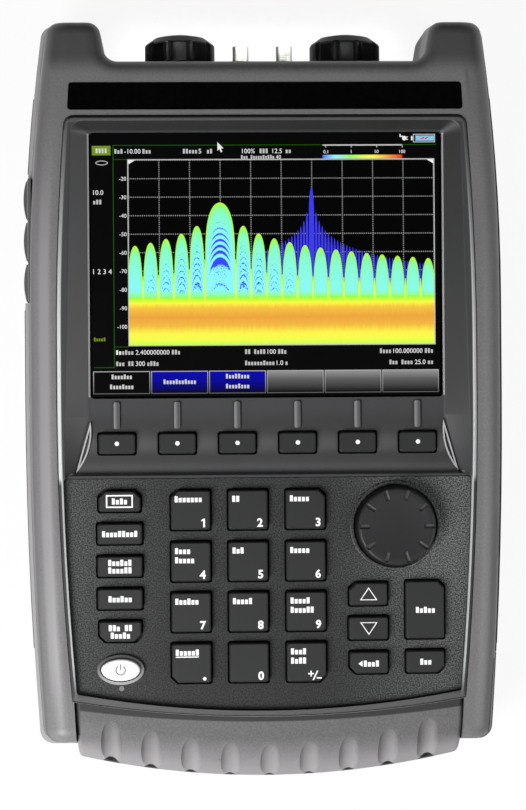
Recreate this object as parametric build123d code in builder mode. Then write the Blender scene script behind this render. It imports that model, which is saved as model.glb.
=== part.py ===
from build123d import *
import os
from collections import namedtuple
from math import radians, sqrt, tan

os.makedirs("parts", exist_ok=True)

# Levels above the table, the analyzer lying on its back
Z_REAR = 1.5
Z_PART = 35.0
Z_FRAME = 66.0
Z_RIM = 67.0
Z_TRAY = 61.5
Z_TRAY_UNDER = 59.0
Z_LEDGE = 60.0
Z_PANEL_UNDER = 62.0
Z_PANEL = 64.5
Z_KEY_TOP = 67.2
Z_SOFTKEY_TOP = 63.6
Z_TOP = 72.0
Z_CAVITY = 56.0

# Outline of the case, half widths along the length
Barrel = namedtuple("Barrel", "half flat_low flat_high r_low r_high")
CASE = Barrel(93.6, 0.0, 40.0, 1825.0, 763.0)
SEAM = Barrel(80.1, 0.0, 20.0, 1268.0, 1064.0)
Y_END = 128.5
Y_FOOT = -135.0
Y_HORN = 146.0
HORN_TIP_X = 63.9
HORN_ROOT_X = 60.8
HORN_ROOT_R = 5.5
WALL = 3.0
REAR_WALL = 3.0
R_SIDE = 9.5
R_REAR = 8.0
R_INNER = 6.0
R_TIP = 5.0
R_FOOT = 5.5
FRONT_DRAFT = 6.0
FRONT_STEP = 1.3

# Clearances
SEAM_GAP = 0.25
KEY_GAP = 0.6
POWER_GAP = 0.35
LIFT_GAP = 0.3
RUN_GAP = 0.1
SLACK = 0.4

# Bezel and keypad panel
Y_BEZEL_TOP = 107.5
Y_BEZEL_LOW = -114.8
BEZEL_SAG = 6.4
BEZEL_CORNER = 4.0
LEDGE_W = 3.0
RIM_CHAMFER = 1.1
PANEL_INSET = 2.0
PANEL_LEDGE = 2.5
Y_PANEL_TOP = -30.4
Y_PANEL_LOW = -112.0
PANEL_SAG = 7.0
PANEL_CORNER = 1.3
TRAY_FLOOR = ((67.6, 101.5), (67.6, -7.0), (73.3, -28.7))
TRAY_RIM = ((74.3, 105.4), (77.2, -7.0), (77.0, -30.2))
TRAY_CORNER = (1.7, 5.0)
LIP_W = 76.8
LIP_Y = (-31.0, -28.9)

# Display
WINDOW_W = 134.8
WINDOW_Y = (-0.2, 101.3)
WINDOW_LAP = 2.0
WINDOW_T = 1.5
WINDOW_CORNER = 1.7
LCD_W = 144.0
LCD_Y = (-2.4, 103.6)
LCD_T = 10.0
LCD_STEP = 6.0
LCD_BACK = 4.0

# Softkey row
SOFTKEY_X = (-57.4, -34.4, -11.5, 11.5, 34.4, 57.4)
SOFTKEY_Y = -17.3
SOFTKEY_W = 15.2
SOFTKEY_H = 9.1
RIB_W = 2.3
RIB_H = 10.2
RIB_Y = -6.6
RIB_T = 0.7
RIB_CORNER = 0.75

# Keypad: name, centre, hole width, hole height, slanted corners
FUNCTION_X = -56.5
FUNCTION_PITCH = 12.34
FUNCTION_TOP = -39.05
FUNCTION_W = 18.3
FUNCTION_END_W = 17.2
FUNCTION_H = 9.3
NUMBER_X = (-29.6, -7.8, 14.1)
NUMBER_Y = (-42.6, -62.2, -81.4, -100.7)
NUMBER_W = 16.2
NUMBER_H = 16.4
Key = namedtuple("Key", "name x y w h slants")
FUNCTION_NAMES = ("key_mode", "key_frequency", "key_scale", "key_marker", "key_tools")
FUNCTION_SLANTS = (("tl", "tr"), (), (), (), ("bl", "br"))
NUMBER_NAMES = ("key_1", "key_2", "key_3", "key_4", "key_5", "key_6",
                "key_7", "key_8", "key_9", "key_point", "key_0", "key_sign")
NUMBER_SLANTS = {"key_1": ("tl",), "key_3": ("tr",), "key_point": ("bl",), "key_sign": ("br",)}
CURSOR_KEYS = (
    Key("arrow_up", 37.8, -75.1, 15.8, 10.1, ("tl",)),
    Key("arrow_down", 37.8, -88.1, 16.2, 10.2, ()),
    Key("key_back", 37.9, -101.2, 15.8, 9.8, ("bl",)),
    Key("key_enter", 59.4, -81.3, 16.0, 23.4, ("tr",)),
    Key("key_escape", 59.4, -101.0, 15.8, 10.0, ("br",)),
)
KEY_CORNER = 1.2
KEY_SLANT = 2.6
KEY_TAPER = 7.0
KEY_EDGE = 0.35
FLANGE_LAP = 0.8
FLANGE_T = 1.2
KEY_TRAVEL = 1.2
KEY_FOOT = 57.5
STEM_W = 5.0
POWER_XY = (-56.5, -103.0)
POWER_RX = 7.5
POWER_RY = 4.35
POWER_RING = 1.0
POWER_RING_T = 1.2
LAMP_XY = (-56.2, -110.2)
LAMP_R = 0.95
LAMP_FOOT_R = 1.5
LAMP_FOOT_T = 1.2
LAMP_PROUD = 0.2

# Rotary knob and encoder
KNOB_XY = (48.5, -49.2)
KNOB_WELL_R = 16.2
KNOB_WELL_T = 0.8
KNOB_RING_W = 1.3
KNOB_RING_T = 0.5
RING_TAPER = 50.0
KNOB_R = 15.7
KNOB_TAPER = 9.0
KNOB_EDGE = 0.9
KNOB_DISH = 0.7
KNOB_DISH_R = 12.5
KNOB_NOTCHES = 10
NOTCH_R = 0.9
NOTCH_IN = 10.3
NOTCH_L = 3.9
SHAFT_R = 3.0
SHAFT_TOP = 70.0
BUSH_R = 3.6
ENCODER_W = 13.0
ENCODER_T = 5.5

# Key board and membrane
DOME_GAP = 0.4
DOME_T = 0.8
DOME_W = 4.4
DOME_TAPER = 12.0
SHEET_T = 1.2
BOARD_T = 1.6
BOARD_W = 146.0
BOARD_Y = (-107.0, -8.0)
SHEET_MARGIN = 1.0
POST_R = 2.0
POST_XY = ((-42.5, -45.0), (-42.5, -92.0), (26.0, -45.0), (26.0, -92.0))
Z_DOME = KEY_FOOT - KEY_TRAVEL - DOME_GAP
Z_SHEET = Z_DOME - DOME_T
Z_BOARD = Z_SHEET - SHEET_T

# Crescent trims beside the softkeys
TRIM_TIPS = ((67.4, -8.9), (73.0, -28.4))
TRIM_BOW = 2.3
TRIM_LINE = 0.55
TRIM_T = 0.9

# Name strip
STRIP_Y = (109.4, 120.0)
STRIP_HALF = (75.3, 74.7)
STRIP_CORNER = 1.3
STRIP_POCKET = 1.8
STRIP_T = 1.2

# Lower bumper
BUMPER_TOP_GAP = 0.5
BUMPER_HALF = (74.0, 72.8)
BUMPER_Z = (6.0, 65.0)
BUMPER_SEAT = 56.0
BUMPER_END_Y = -137.6
BUMPER_CENTRE_Y = -146.0
BUMPER_R = 16.0
BUMPER_REAR_R = 5.0
BUMPER_SIDE_R = 2.0
FLUTE_COUNT = 9
FLUTE_PITCH = 15.1
FLUTE_R = 4.2
FLUTE_TOP = (-131.7, -122.5)
FLUTE_END = (-145.0, -139.7)
FLUTE_DROP = 10.0
FLUTE_L = 60.0

# Side grips
GRIP_DEEP = 1.0
GRIP_PROUD = 0.4
GRIP_Z = (12.0, 33.5)
GRIP_Y = (-98.0, 118.0)

# Flaps on the left side
FLAP_COUNT = 3
FLAP_W = 14.6
FLAP_PITCH = 16.3
FLAP_Y = 61.7
FLAP_Z = (19.0, 47.0)
FLAP_OUT = 94.0
FLAP_EDGE = 93.0
FLAP_IN = 90.4
FLAP_PIN_X = 91.6
FLAP_PIN_R = 0.75
FLAP_KNUCKLE_R = 1.9
BAY_MARGIN = 0.5
BAY_Z = (16.0, 47.4)
BAY_BACK = 86.0
BAY_WALL = 2.5
PIN_BITE = 2.0
JACK_PLATE_T = 1.5
JACK_DEEP = 12.5
JACK_WALL = 1.0
JACK_SLOTS = ((13.5, 11.6), (6.5, 13.2), (3.4, 20.0))

# Battery and its door
BATTERY = (149.0, 19.2, 48.5)
BATTERY_X = 83.0
BATTERY_EDGE = 2.0
BATTERY_LUG = (6.0, 3.0, 14.0)
FLOOR = Z_REAR + REAR_WALL
BAY_RIB_Y = (-108.6, -107.1)
BATTERY_Y = (BAY_RIB_Y[0] - SLACK - BATTERY[1], BAY_RIB_Y[0] - SLACK)
BAY_ROOF = 53.4
DOOR_X = (86.5, 83.6)
DOOR_Y = -101.2
DOOR_Z = 9.0
DOOR_GAP = 0.3
CHEEK_X = (82.0, 86.0)
LATCH_Y = -115.0
LATCH_Z = 24.0
LATCH_W = 9.0
LATCH_H = 15.0
LATCH_TRAVEL = 3.0
LATCH_DEEP = 2.4
LATCH_PROUD = 0.2
LATCH_GRIP = 0.5
LATCH_GROOVE = 2.0
LATCH_GROOVE_PITCH = 4.0

# Connectors on the end wall
PORT_X = 32.4
PORT_NECK_R = 5.1
PORT_THREAD_R = 4.3
PORT_TIP_Y = 138.6
PORT_NECK_Y = 133.0
PORT_BORE_R = 1.2
PORT_BORE_L = 6.0
CAP_Y = 130.8
CAP_R = 13.75
CAP_PROFILE = ((0.0, 142.1), (5.0, 141.9), (9.8, 140.9), (13.2, 138.5), (13.75, 137.7))
CAP_ROOF = 1.6
CAP_FLUTES = 10
CAP_FLUTE_R = 2.3
CAP_FLUTE_IN = 0.9
JACK_X = 8.55
JACK_R = 3.175
JACK_TIP_Y = 137.8
JACK_NUT_R = 4.6
JACK_NUT_T = 1.8
JACK_BORE_R = 2.1
JACK_BORE_L = 3.0
JACK_PIN_R = 0.6

# Inner pieces
DECK_W = 136.0
DECK_Y = (20.0, 122.0)
DECK_TOP = 40.0
DECK_GROOVE = 1.0
DECK_GROOVE_W = 1.5
DECK_LID_EDGE = 6.0
MAIN_Z = 44.0
MAIN_X = (-70.0, 74.0)
MAIN_Y = (-100.0, 118.0)
STANDOFF_R = 3.0
STANDOFF_DECK = ((-60.0, 110.0), (60.0, 110.0), (-60.0, 32.0), (60.0, 32.0))
STANDOFF_SHELL = ((-60.0, -20.0), (60.0, -20.0), (-60.0, -92.0), (60.0, -92.0))
CHIPS = ((-20.0, 60.0, 35.0, 35.0, 2.4), (25.0, 62.0, 18.0, 14.0, 1.4), (25.0, 40.0, 18.0, 14.0, 1.4),
         (0.0, -30.0, 40.0, 22.0, 3.0), (-45.0, 10.0, 12.0, 60.0, 2.0), (45.0, -60.0, 22.0, 22.0, 2.0))

# Kickstand on the rear
STAND_X = 42.0
STAND_Y = (-46.0, 46.5)
STAND_T = 3.2
STAND_LEG = 12.0
STAND_Z = 2.2
STAND_WELL = 6.5
STAND_ROOF = 1.5
STAND_BLOCK = 5.0
STAND_PIN_R = 1.5
STAND_BARREL_R = 2.1
STAND_PIN_L = 8.0
STAND_PIN_BITE = 3.0
STAND_CORNER = 5.0
FINGER_W = 24.0
FINGER_Y = 10.0

# Feet and screws
FOOT_XY = ((-66.0, 108.0), (66.0, 108.0), (-66.0, -116.0), (66.0, -116.0))
FOOT_W = 26.0
FOOT_H = 12.0
FOOT_CORNER = 4.0
SCREW_Y = (112.0, 20.0, -50.0, -98.5)
SCREW_R = 1.5
SCREW_HEAD_R = 2.9
SCREW_HEAD_T = 2.2
SCREW_SINK = 1.0
SCREW_TIP = 48.0
SCREW_FIT = 0.05
SCREW_SLOT = 1.0
BOSS_R = 4.0
BOSS_BITE = 0.5

# Overrun of cuts and reach when edges are picked
EPS = 1.0
NEAR = 0.1


def export(part, name):
    """Label a finished piece and write it out."""
    part.label = name
    export_step(part, f"parts/{name}.step")


def barrel_x(shape, y, inset):
    """Half width of a barrel outline at one height."""
    half = shape.half - inset
    if y > shape.flat_high:
        return half - shape.r_high + sqrt(shape.r_high ** 2 - (y - shape.flat_high) ** 2)
    if y < shape.flat_low:
        return half - shape.r_low + sqrt(shape.r_low ** 2 - (shape.flat_low - y) ** 2)
    return half


def barrel_face(shape, inset, y_low, y_high, sag=0.0):
    """Closed barrel outline with a straight top and a bowed or straight foot."""
    x_low = barrel_x(shape, y_low, inset)
    x_high = barrel_x(shape, y_high, inset)
    with BuildSketch() as face:
        with BuildLine():
            for side in (1, -1):
                bends = [y for y in (shape.flat_low, shape.flat_high) if y_low < y < y_high]
                stops = [y_low, *bends, y_high]
                for y_a, y_b in zip(stops, stops[1:]):
                    spots = [(side * barrel_x(shape, y, inset), y) for y in (y_a, (y_a + y_b) / 2, y_b)]
                    if shape.flat_low <= spots[1][1] <= shape.flat_high:
                        Line(spots[0], spots[-1])
                    else:
                        ThreePointArc(*spots)
            Line((-x_high, y_high), (x_high, y_high))
            if sag:
                ThreePointArc((-x_low, y_low), (0, y_low - sag), (x_low, y_low))
            else:
                Line((-x_low, y_low), (x_low, y_low))
        make_face()
    return face.sketch


def rounded(face, corners, radius):
    """A sketch with the named corners rounded: top, low or all."""
    with BuildSketch() as result:
        add(face)
        spots = result.vertices().sort_by(Axis.Y)
        ends = {"top": spots[-2:], "low": spots[:2], "all": spots}[corners]
        fillet(ends, radius)
    return result.sketch


def connector_bay():
    """Open space between the two horns that guard the connectors."""
    with BuildSketch() as face:
        with BuildLine():
            Polyline((-HORN_TIP_X, Y_HORN), (-HORN_ROOT_X, Y_END), (HORN_ROOT_X, Y_END), (HORN_TIP_X, Y_HORN),
                     (HORN_TIP_X, Y_HORN + EPS), (-HORN_TIP_X, Y_HORN + EPS), close=True)
        make_face()
        fillet(face.vertices().sort_by(Axis.Y)[:2], HORN_ROOT_R)
    return face.sketch


def case_half(height, r_side, draft, step):
    """Solid half of the case above or below the parting plane, edges rounded."""
    level = Z_PART + height
    outline = barrel_face(CASE, step, Y_FOOT + step, Y_HORN)
    bay = connector_bay()
    with BuildPart() as half:
        with BuildSketch(Plane.XY.offset(Z_PART)):
            add(outline)
        extrude(amount=height, taper=draft)
        with BuildSketch(Plane.XY.offset(Z_PART)):
            add(bay)
        extrude(amount=height, mode=Mode.SUBTRACT)
        rim = half.edges().filter_by(lambda e: abs(e.center().Z - level) < NEAR)
        inner_x = HORN_TIP_X + EPS
        fillet(rim.filter_by(lambda e: abs(e.center().X) > inner_x + HORN_ROOT_R * 2
                             and e.center().Y < Y_HORN - EPS), r_side)
        rim = half.edges().filter_by(lambda e: abs(e.center().Z - level) < NEAR)
        fillet(rim.filter_by(lambda e: Y_END - EPS < e.center().Y < Y_HORN - EPS
                             and abs(e.center().X) < inner_x), R_INNER)
        for ends, radius in ((slice(-2, None), R_TIP), (slice(0, 1), R_FOOT)):
            faces = half.faces().sort_by(Axis.Y)[ends]
            fillet(faces.edges().filter_by(lambda e: abs(e.center().Z - Z_PART) > NEAR), radius)
    return half.part


def end_plane(y):
    """Plane square to the length, looking out of the connector end."""
    return Plane(origin=(0, y, Z_PART), x_dir=(1, 0, 0), z_dir=(0, 1, 0))


def key_face(w, h, slants):
    """Outline of one key, rounded, with any slanted corners."""
    with BuildSketch() as face:
        Rectangle(w, h)
        spots = {"tl": (-w / 2, h / 2), "tr": (w / 2, h / 2), "bl": (-w / 2, -h / 2), "br": (w / 2, -h / 2)}
        for spot in slants:
            point = Vector(*spots[spot])
            chamfer(face.vertices().sort_by_distance(point)[0], KEY_SLANT)
        fillet(face.vertices(), KEY_CORNER)
    return face.sketch


def oval_face(rx, ry):
    """Outline of the power key."""
    with BuildSketch() as face:
        Ellipse(rx, ry)
    return face.sketch


def make_key(name, x, y, faces, z_face, z_under, z_top):
    """One push key: retained flange, body through the plate, tapered cap and plunger."""
    cap, flange = faces
    z_flange = z_under - LIFT_GAP
    with BuildPart() as key:
        with BuildSketch(Plane.XY.offset(z_flange - FLANGE_T)):
            with Locations((x, y)):
                add(flange)
        extrude(amount=FLANGE_T)
        with BuildSketch(Plane.XY.offset(z_flange)):
            with Locations((x, y)):
                add(cap)
        extrude(amount=z_face - z_flange)
        with BuildSketch(Plane.XY.offset(z_face)):
            with Locations((x, y)):
                add(cap)
        extrude(amount=z_top - z_face, taper=KEY_TAPER)
        chamfer(key.edges().filter_by(lambda e: abs(e.center().Z - z_top) < KEY_EDGE), KEY_EDGE)
        if z_flange - FLANGE_T > KEY_FOOT:
            with BuildSketch(Plane.XY.offset(KEY_FOOT)):
                with Locations((x, y)):
                    Rectangle(STEM_W, STEM_W)
            extrude(amount=z_flange - FLANGE_T - KEY_FOOT)
    export(key.part, name)


# Key list with the size of each opening
FUNCTION_KEYS = [
    Key(name, FUNCTION_X, FUNCTION_TOP - i * FUNCTION_PITCH,
        FUNCTION_END_W if FUNCTION_SLANTS[i] else FUNCTION_W, FUNCTION_H, FUNCTION_SLANTS[i])
    for i, name in enumerate(FUNCTION_NAMES)]
NUMBER_KEYS = [
    Key(name, NUMBER_X[i % len(NUMBER_X)], NUMBER_Y[i // len(NUMBER_X)],
        NUMBER_W, NUMBER_H, NUMBER_SLANTS.get(name, ()))
    for i, name in enumerate(NUMBER_NAMES)]
PANEL_KEYS = FUNCTION_KEYS + NUMBER_KEYS + list(CURSOR_KEYS)
SOFT_KEYS = [Key(f"softkey_{i + 1}", x, SOFTKEY_Y, SOFTKEY_W, SOFTKEY_H, ())
             for i, x in enumerate(SOFTKEY_X)]
KEY_SPOTS = [(k.x, k.y) for k in PANEL_KEYS + SOFT_KEYS] + [POWER_XY]

# Shared outlines
SEAM_FACE = rounded(barrel_face(SEAM, 0, Y_BEZEL_LOW, Y_BEZEL_TOP, BEZEL_SAG), "top", BEZEL_CORNER)
BEZEL_FACE = rounded(barrel_face(SEAM, SEAM_GAP, Y_BEZEL_LOW + SEAM_GAP, Y_BEZEL_TOP - SEAM_GAP, BEZEL_SAG),
                     "top", BEZEL_CORNER - SEAM_GAP)
THROUGH_FACE = barrel_face(SEAM, LEDGE_W, Y_BEZEL_LOW + LEDGE_W, Y_BEZEL_TOP - LEDGE_W, BEZEL_SAG)
UNDER_FACE = barrel_face(SEAM, LEDGE_W + SEAM_GAP, Y_BEZEL_LOW + LEDGE_W + SEAM_GAP,
                         Y_BEZEL_TOP - LEDGE_W - SEAM_GAP, BEZEL_SAG)
POCKET_FACE = rounded(barrel_face(SEAM, PANEL_INSET, Y_PANEL_LOW, Y_PANEL_TOP, PANEL_SAG),
                      "all", PANEL_CORNER)
PANEL_FACE = rounded(barrel_face(SEAM, PANEL_INSET + SEAM_GAP, Y_PANEL_LOW + SEAM_GAP,
                                 Y_PANEL_TOP - SEAM_GAP, PANEL_SAG), "all", PANEL_CORNER)
KEYWAY_FACE = barrel_face(SEAM, PANEL_INSET + PANEL_LEDGE, Y_PANEL_LOW + PANEL_LEDGE,
                          Y_PANEL_TOP - PANEL_LEDGE, PANEL_SAG)
CAVITY_FACE = barrel_face(CASE, WALL, Y_FOOT + WALL, Y_END - WALL)
FRONT_LEAN = tan(radians(FRONT_DRAFT))
FRONT_WALL = WALL + FRONT_STEP + (Z_CAVITY - Z_PART) * FRONT_LEAN
FRONT_ROOM = barrel_face(CASE, FRONT_WALL, Y_FOOT + FRONT_WALL, Y_END - WALL)
SCREW_XY = [(side * (barrel_x(CASE, y, FRONT_WALL) - BOSS_R + BOSS_BITE), y)
            for y in SCREW_Y for side in (-1, 1)]


def bumper_face(gap):
    """Outline of the lower bumper seen from the front, grown by a gap at the sides."""
    top, low = BUMPER_HALF
    y_top = Y_BEZEL_LOW - BUMPER_TOP_GAP + gap
    with BuildSketch() as face:
        with BuildLine():
            ThreePointArc((-top - gap, y_top), (0, y_top - BEZEL_SAG), (top + gap, y_top))
            Line((top + gap, y_top), (low + gap, BUMPER_END_Y))
            ThreePointArc((low + gap, BUMPER_END_Y), (0, BUMPER_CENTRE_Y), (-low - gap, BUMPER_END_Y))
            Line((-low - gap, BUMPER_END_Y), (-top - gap, y_top))
        make_face()
    return face.sketch


BUMPER_FACE = bumper_face(0)
BUMPER_ROOM = bumper_face(SEAM_GAP)


def strip_face(gap):
    """Outline of the name strip with slightly slanted ends."""
    low, top = STRIP_HALF
    y_low, y_top = STRIP_Y
    with BuildSketch() as face:
        with BuildLine():
            Polyline((-low + gap, y_low + gap), (low - gap, y_low + gap),
                     (top - gap, y_top - gap), (-top + gap, y_top - gap), close=True)
        make_face()
        fillet(face.vertices(), STRIP_CORNER)
    return face.sketch


STRIP_ROOM = strip_face(0)
STRIP_FACE = strip_face(SEAM_GAP)

# Side wall bay for the three flaps
FLAP_CENTRES = [FLAP_Y + (i - (FLAP_COUNT - 1) / 2) * FLAP_PITCH for i in range(FLAP_COUNT)]
BAY_HALF = (FLAP_COUNT - 1) / 2 * FLAP_PITCH + FLAP_W / 2 + BAY_MARGIN
BAY_Y = (FLAP_Y - BAY_HALF, FLAP_Y + BAY_HALF)
FLAP_PIN_Z = FLAP_Z[0]
FLAP_LEAN = (FLAP_Z[1] - Z_PART) * FRONT_LEAN


def block(x, y, z, mode=Mode.ADD):
    """Box between two corners in the part being built."""
    with Locations(((x[0] + x[1]) / 2, (y[0] + y[1]) / 2, (z[0] + z[1]) / 2)):
        Box(x[1] - x[0], y[1] - y[0], z[1] - z[0], mode=mode)


def rods(spots, radius, z, mode=Mode.ADD):
    """Upright rods in the part being built."""
    with Locations(*((x, y, (z[0] + z[1]) / 2) for x, y in spots)):
        Cylinder(radius, z[1] - z[0], mode=mode)


def bar(spot, radius, y, mode=Mode.ADD):
    """Rod along the length in the part being built."""
    with Locations((spot[0], (y[0] + y[1]) / 2, spot[1])):
        Cylinder(radius, y[1] - y[0], rotation=(90, 0, 0), mode=mode)


def side_strip(deep, proud, y, z, side):
    """Strip that follows the barrel side of the case between two depths."""
    outer = barrel_face(CASE, -proud, y[0], y[1])
    inner = barrel_face(CASE, deep, y[0] - EPS, y[1] + EPS)
    with BuildPart() as strip:
        with BuildSketch(Plane.XY.offset(z[0])):
            add(outer)
            add(inner, mode=Mode.SUBTRACT)
        extrude(amount=z[1] - z[0])
        split(bisect_by=Plane.YZ, keep=Keep.TOP if side > 0 else Keep.BOTTOM)
    return strip.part


def door_face(gap):
    """Corner of the case that the battery door takes up, seen from the front."""
    low_y = Y_FOOT - EPS
    with BuildSketch() as face:
        with BuildLine():
            Polyline((DOOR_X[0] - gap, DOOR_Y + gap), (CASE.half + EPS, DOOR_Y + gap),
                     (CASE.half + EPS, low_y), (DOOR_X[1] - gap, low_y), close=True)
        make_face()
    return face.sketch


DOOR_FACE = door_face(0)
DOOR_ROOM = door_face(DOOR_GAP)
GRIP_RUNS = ((1, GRIP_Y), (-1, (GRIP_Y[0], BAY_Y[0] - BAY_WALL)), (-1, (BAY_Y[1] + BAY_WALL, GRIP_Y[1])))
FRONT_BLANK = case_half(Z_FRAME - Z_PART, R_SIDE, FRONT_DRAFT, FRONT_STEP)
REAR_BLANK = case_half(Z_REAR - Z_PART, R_REAR, 0, 0)


# Front half of the case
PORTS = ((-PORT_X, PORT_NECK_R), (PORT_X, PORT_NECK_R), (-JACK_X, JACK_R), (JACK_X, JACK_R))
BAY_BLOCK_X = (-FLAP_PIN_X, -BAY_BACK)
BAY_BLOCK_Y = (BAY_Y[0] - BAY_WALL, BAY_Y[1] + BAY_WALL)
BAY_CUT_X = (-CASE.half - EPS, -BAY_BACK + EPS)
CHEEK_Y = (BAY_RIB_Y[0], DOOR_Y + WALL)
INNER_FACE = barrel_face(CASE, FRONT_WALL, BAY_RIB_Y[1], Y_END - WALL)

with BuildPart() as front_room:
    with BuildSketch(Plane.XY.offset(Z_PART)):
        add(FRONT_ROOM)
    extrude(amount=BAY_ROOF - Z_PART)
    with BuildSketch(Plane.XY.offset(Z_PART)):
        add(INNER_FACE)
    extrude(amount=Z_CAVITY - Z_PART)
    block(BAY_BLOCK_X, BAY_BLOCK_Y, (Z_PART, Z_CAVITY), Mode.SUBTRACT)
    block((-BAY_BACK, -BAY_BACK + JACK_PLATE_T), (BAY_BLOCK_Y[0] - SLACK, BAY_BLOCK_Y[1] + SLACK),
          (Z_PART, BAY_Z[1] + SLACK))
    block((0, DOOR_X[0]), (BATTERY_Y[0] - SLACK, BATTERY_Y[1]), (Z_PART, BAY_ROOF))

with BuildPart() as front_frame:
    add(FRONT_BLANK)
    add(front_room.part, mode=Mode.SUBTRACT)
    with BuildSketch(Plane.XY.offset(Z_LEDGE)):
        add(SEAM_FACE)
    extrude(amount=Z_RIM - Z_LEDGE, mode=Mode.SUBTRACT)
    with BuildSketch(Plane.XY.offset(Z_CAVITY)):
        add(THROUGH_FACE)
    extrude(amount=Z_LEDGE - Z_CAVITY, mode=Mode.SUBTRACT)
    with BuildSketch(Plane.XY.offset(Z_FRAME - STRIP_POCKET)):
        add(STRIP_ROOM)
    extrude(amount=STRIP_POCKET, mode=Mode.SUBTRACT)
    with BuildSketch(Plane.XY.offset(BUMPER_SEAT)):
        add(BUMPER_ROOM)
    extrude(amount=Z_RIM - BUMPER_SEAT, mode=Mode.SUBTRACT)
    block(BAY_CUT_X, BAY_Y, (Z_PART, BAY_Z[1]), Mode.SUBTRACT)
    block(CHEEK_X, CHEEK_Y, (Z_PART, BAY_ROOF))
    with BuildSketch(Plane.XY.offset(Z_PART)):
        add(DOOR_ROOM)
    extrude(amount=Z_RIM - Z_PART, mode=Mode.SUBTRACT)
    rods(SCREW_XY, BOSS_R, (Z_PART, Z_CAVITY))
    rods(SCREW_XY, SCREW_R + SCREW_FIT, (Z_PART, SCREW_TIP + EPS), Mode.SUBTRACT)
    block((-LCD_W / 2 - SLACK, LCD_W / 2 + SLACK), (LCD_Y[0] - SLACK, LCD_Y[1] + SLACK),
          (Z_TRAY_UNDER - LCD_T - SLACK, Z_LEDGE), Mode.SUBTRACT)
    for x, radius in PORTS:
        bar((x, Z_PART), radius + SEAM_GAP, (Y_END - WALL - EPS, Y_END + EPS), Mode.SUBTRACT)
export(front_frame.part, "front_frame")

# Rear half of the case with feet, kickstand well and battery bay
STAND_WELL_X = STAND_X + SLACK
STAND_WELL_Y = (STAND_Y[0] - SLACK, STAND_Y[1] + STAND_BARREL_R + SLACK)
STAND_PIN_Z = STAND_Z + STAND_T / 2
STAND_ROOF_Z = STAND_WELL + STAND_ROOF
HEAD_Z = Z_REAR + SCREW_SINK
DECK_RIB_Y = (DECK_Y[1] - 2 * WALL, DECK_Y[1] - WALL)

with BuildPart() as rear_shell:
    add(REAR_BLANK)
    with BuildSketch(Plane.XY.offset(FLOOR)):
        add(CAVITY_FACE)
    extrude(amount=Z_PART - FLOOR, mode=Mode.SUBTRACT)
    block((-STAND_WELL_X - STAND_BLOCK, STAND_WELL_X + STAND_BLOCK),
          (STAND_WELL_Y[0] - FINGER_Y - WALL, STAND_WELL_Y[1] + STAND_BLOCK), (Z_REAR, STAND_ROOF_Z))
    block((-STAND_WELL_X, STAND_WELL_X), STAND_WELL_Y, (0, STAND_WELL), Mode.SUBTRACT)
    block((-FINGER_W / 2, FINGER_W / 2), (STAND_WELL_Y[0] - FINGER_Y, STAND_WELL_Y[0]),
          (0, STAND_WELL), Mode.SUBTRACT)
    block((-DECK_W / 2, DECK_W / 2), DECK_RIB_Y, (FLOOR, STAND_ROOF_Z))
    block((-CHEEK_X[1], CHEEK_X[1]), BAY_RIB_Y, (FLOOR, Z_PART))
    block(CHEEK_X, CHEEK_Y, (FLOOR, Z_PART))
    block(BAY_BLOCK_X, BAY_BLOCK_Y, (BAY_Z[0] - BAY_WALL, Z_PART))
    block(BAY_CUT_X, BAY_Y, (BAY_Z[0], Z_PART), Mode.SUBTRACT)
    with BuildSketch(Plane.XY.offset(DOOR_Z - DOOR_GAP)):
        add(DOOR_ROOM)
    extrude(amount=Z_PART - DOOR_Z + DOOR_GAP, mode=Mode.SUBTRACT)
    for side, run in GRIP_RUNS:
        add(side_strip(GRIP_DEEP, EPS, run, GRIP_Z, side), mode=Mode.SUBTRACT)
    bar((-FLAP_PIN_X, FLAP_PIN_Z), FLAP_PIN_R + SCREW_FIT, (BAY_Y[0] - PIN_BITE, BAY_Y[1] + PIN_BITE),
        Mode.SUBTRACT)
    rods(STANDOFF_SHELL, STANDOFF_R, (FLOOR, MAIN_Z))
    rods(SCREW_XY, BOSS_R, (FLOOR, Z_PART))
    rods(SCREW_XY, SCREW_R + SCREW_FIT, (Z_REAR, Z_PART), Mode.SUBTRACT)
    rods(SCREW_XY, SCREW_HEAD_R + RUN_GAP, (0, HEAD_Z + SCREW_HEAD_T), Mode.SUBTRACT)
    for side in (1, -1):
        with Locations((side * STAND_WELL_X, STAND_Y[1], STAND_PIN_Z)):
            Cylinder(STAND_PIN_R + SCREW_FIT, 2 * STAND_PIN_BITE, rotation=(0, 90, 0), mode=Mode.SUBTRACT)
    for x, radius in PORTS:
        bar((x, Z_PART), radius + SEAM_GAP, (Y_END - WALL - EPS, Y_END + EPS), Mode.SUBTRACT)
    with BuildSketch(Plane.XY):
        with Locations(*FOOT_XY):
            RectangleRounded(FOOT_W, FOOT_H, FOOT_CORNER)
    extrude(amount=Z_REAR)
export(rear_shell.part, "rear_shell")

# Grip pads let into the long sides
with BuildPart() as side_grips:
    for side, run in GRIP_RUNS:
        add(side_strip(GRIP_DEEP, GRIP_PROUD, (run[0] + SEAM_GAP, run[1] - SEAM_GAP),
                       (GRIP_Z[0] + SEAM_GAP, GRIP_Z[1] - SEAM_GAP), side))
export(side_grips.part, "side_grips")

# Ribbed bumper over the lower end
FLUTE_SPOTS = [(i - (FLUTE_COUNT - 1) / 2) for i in range(FLUTE_COUNT)]


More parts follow.
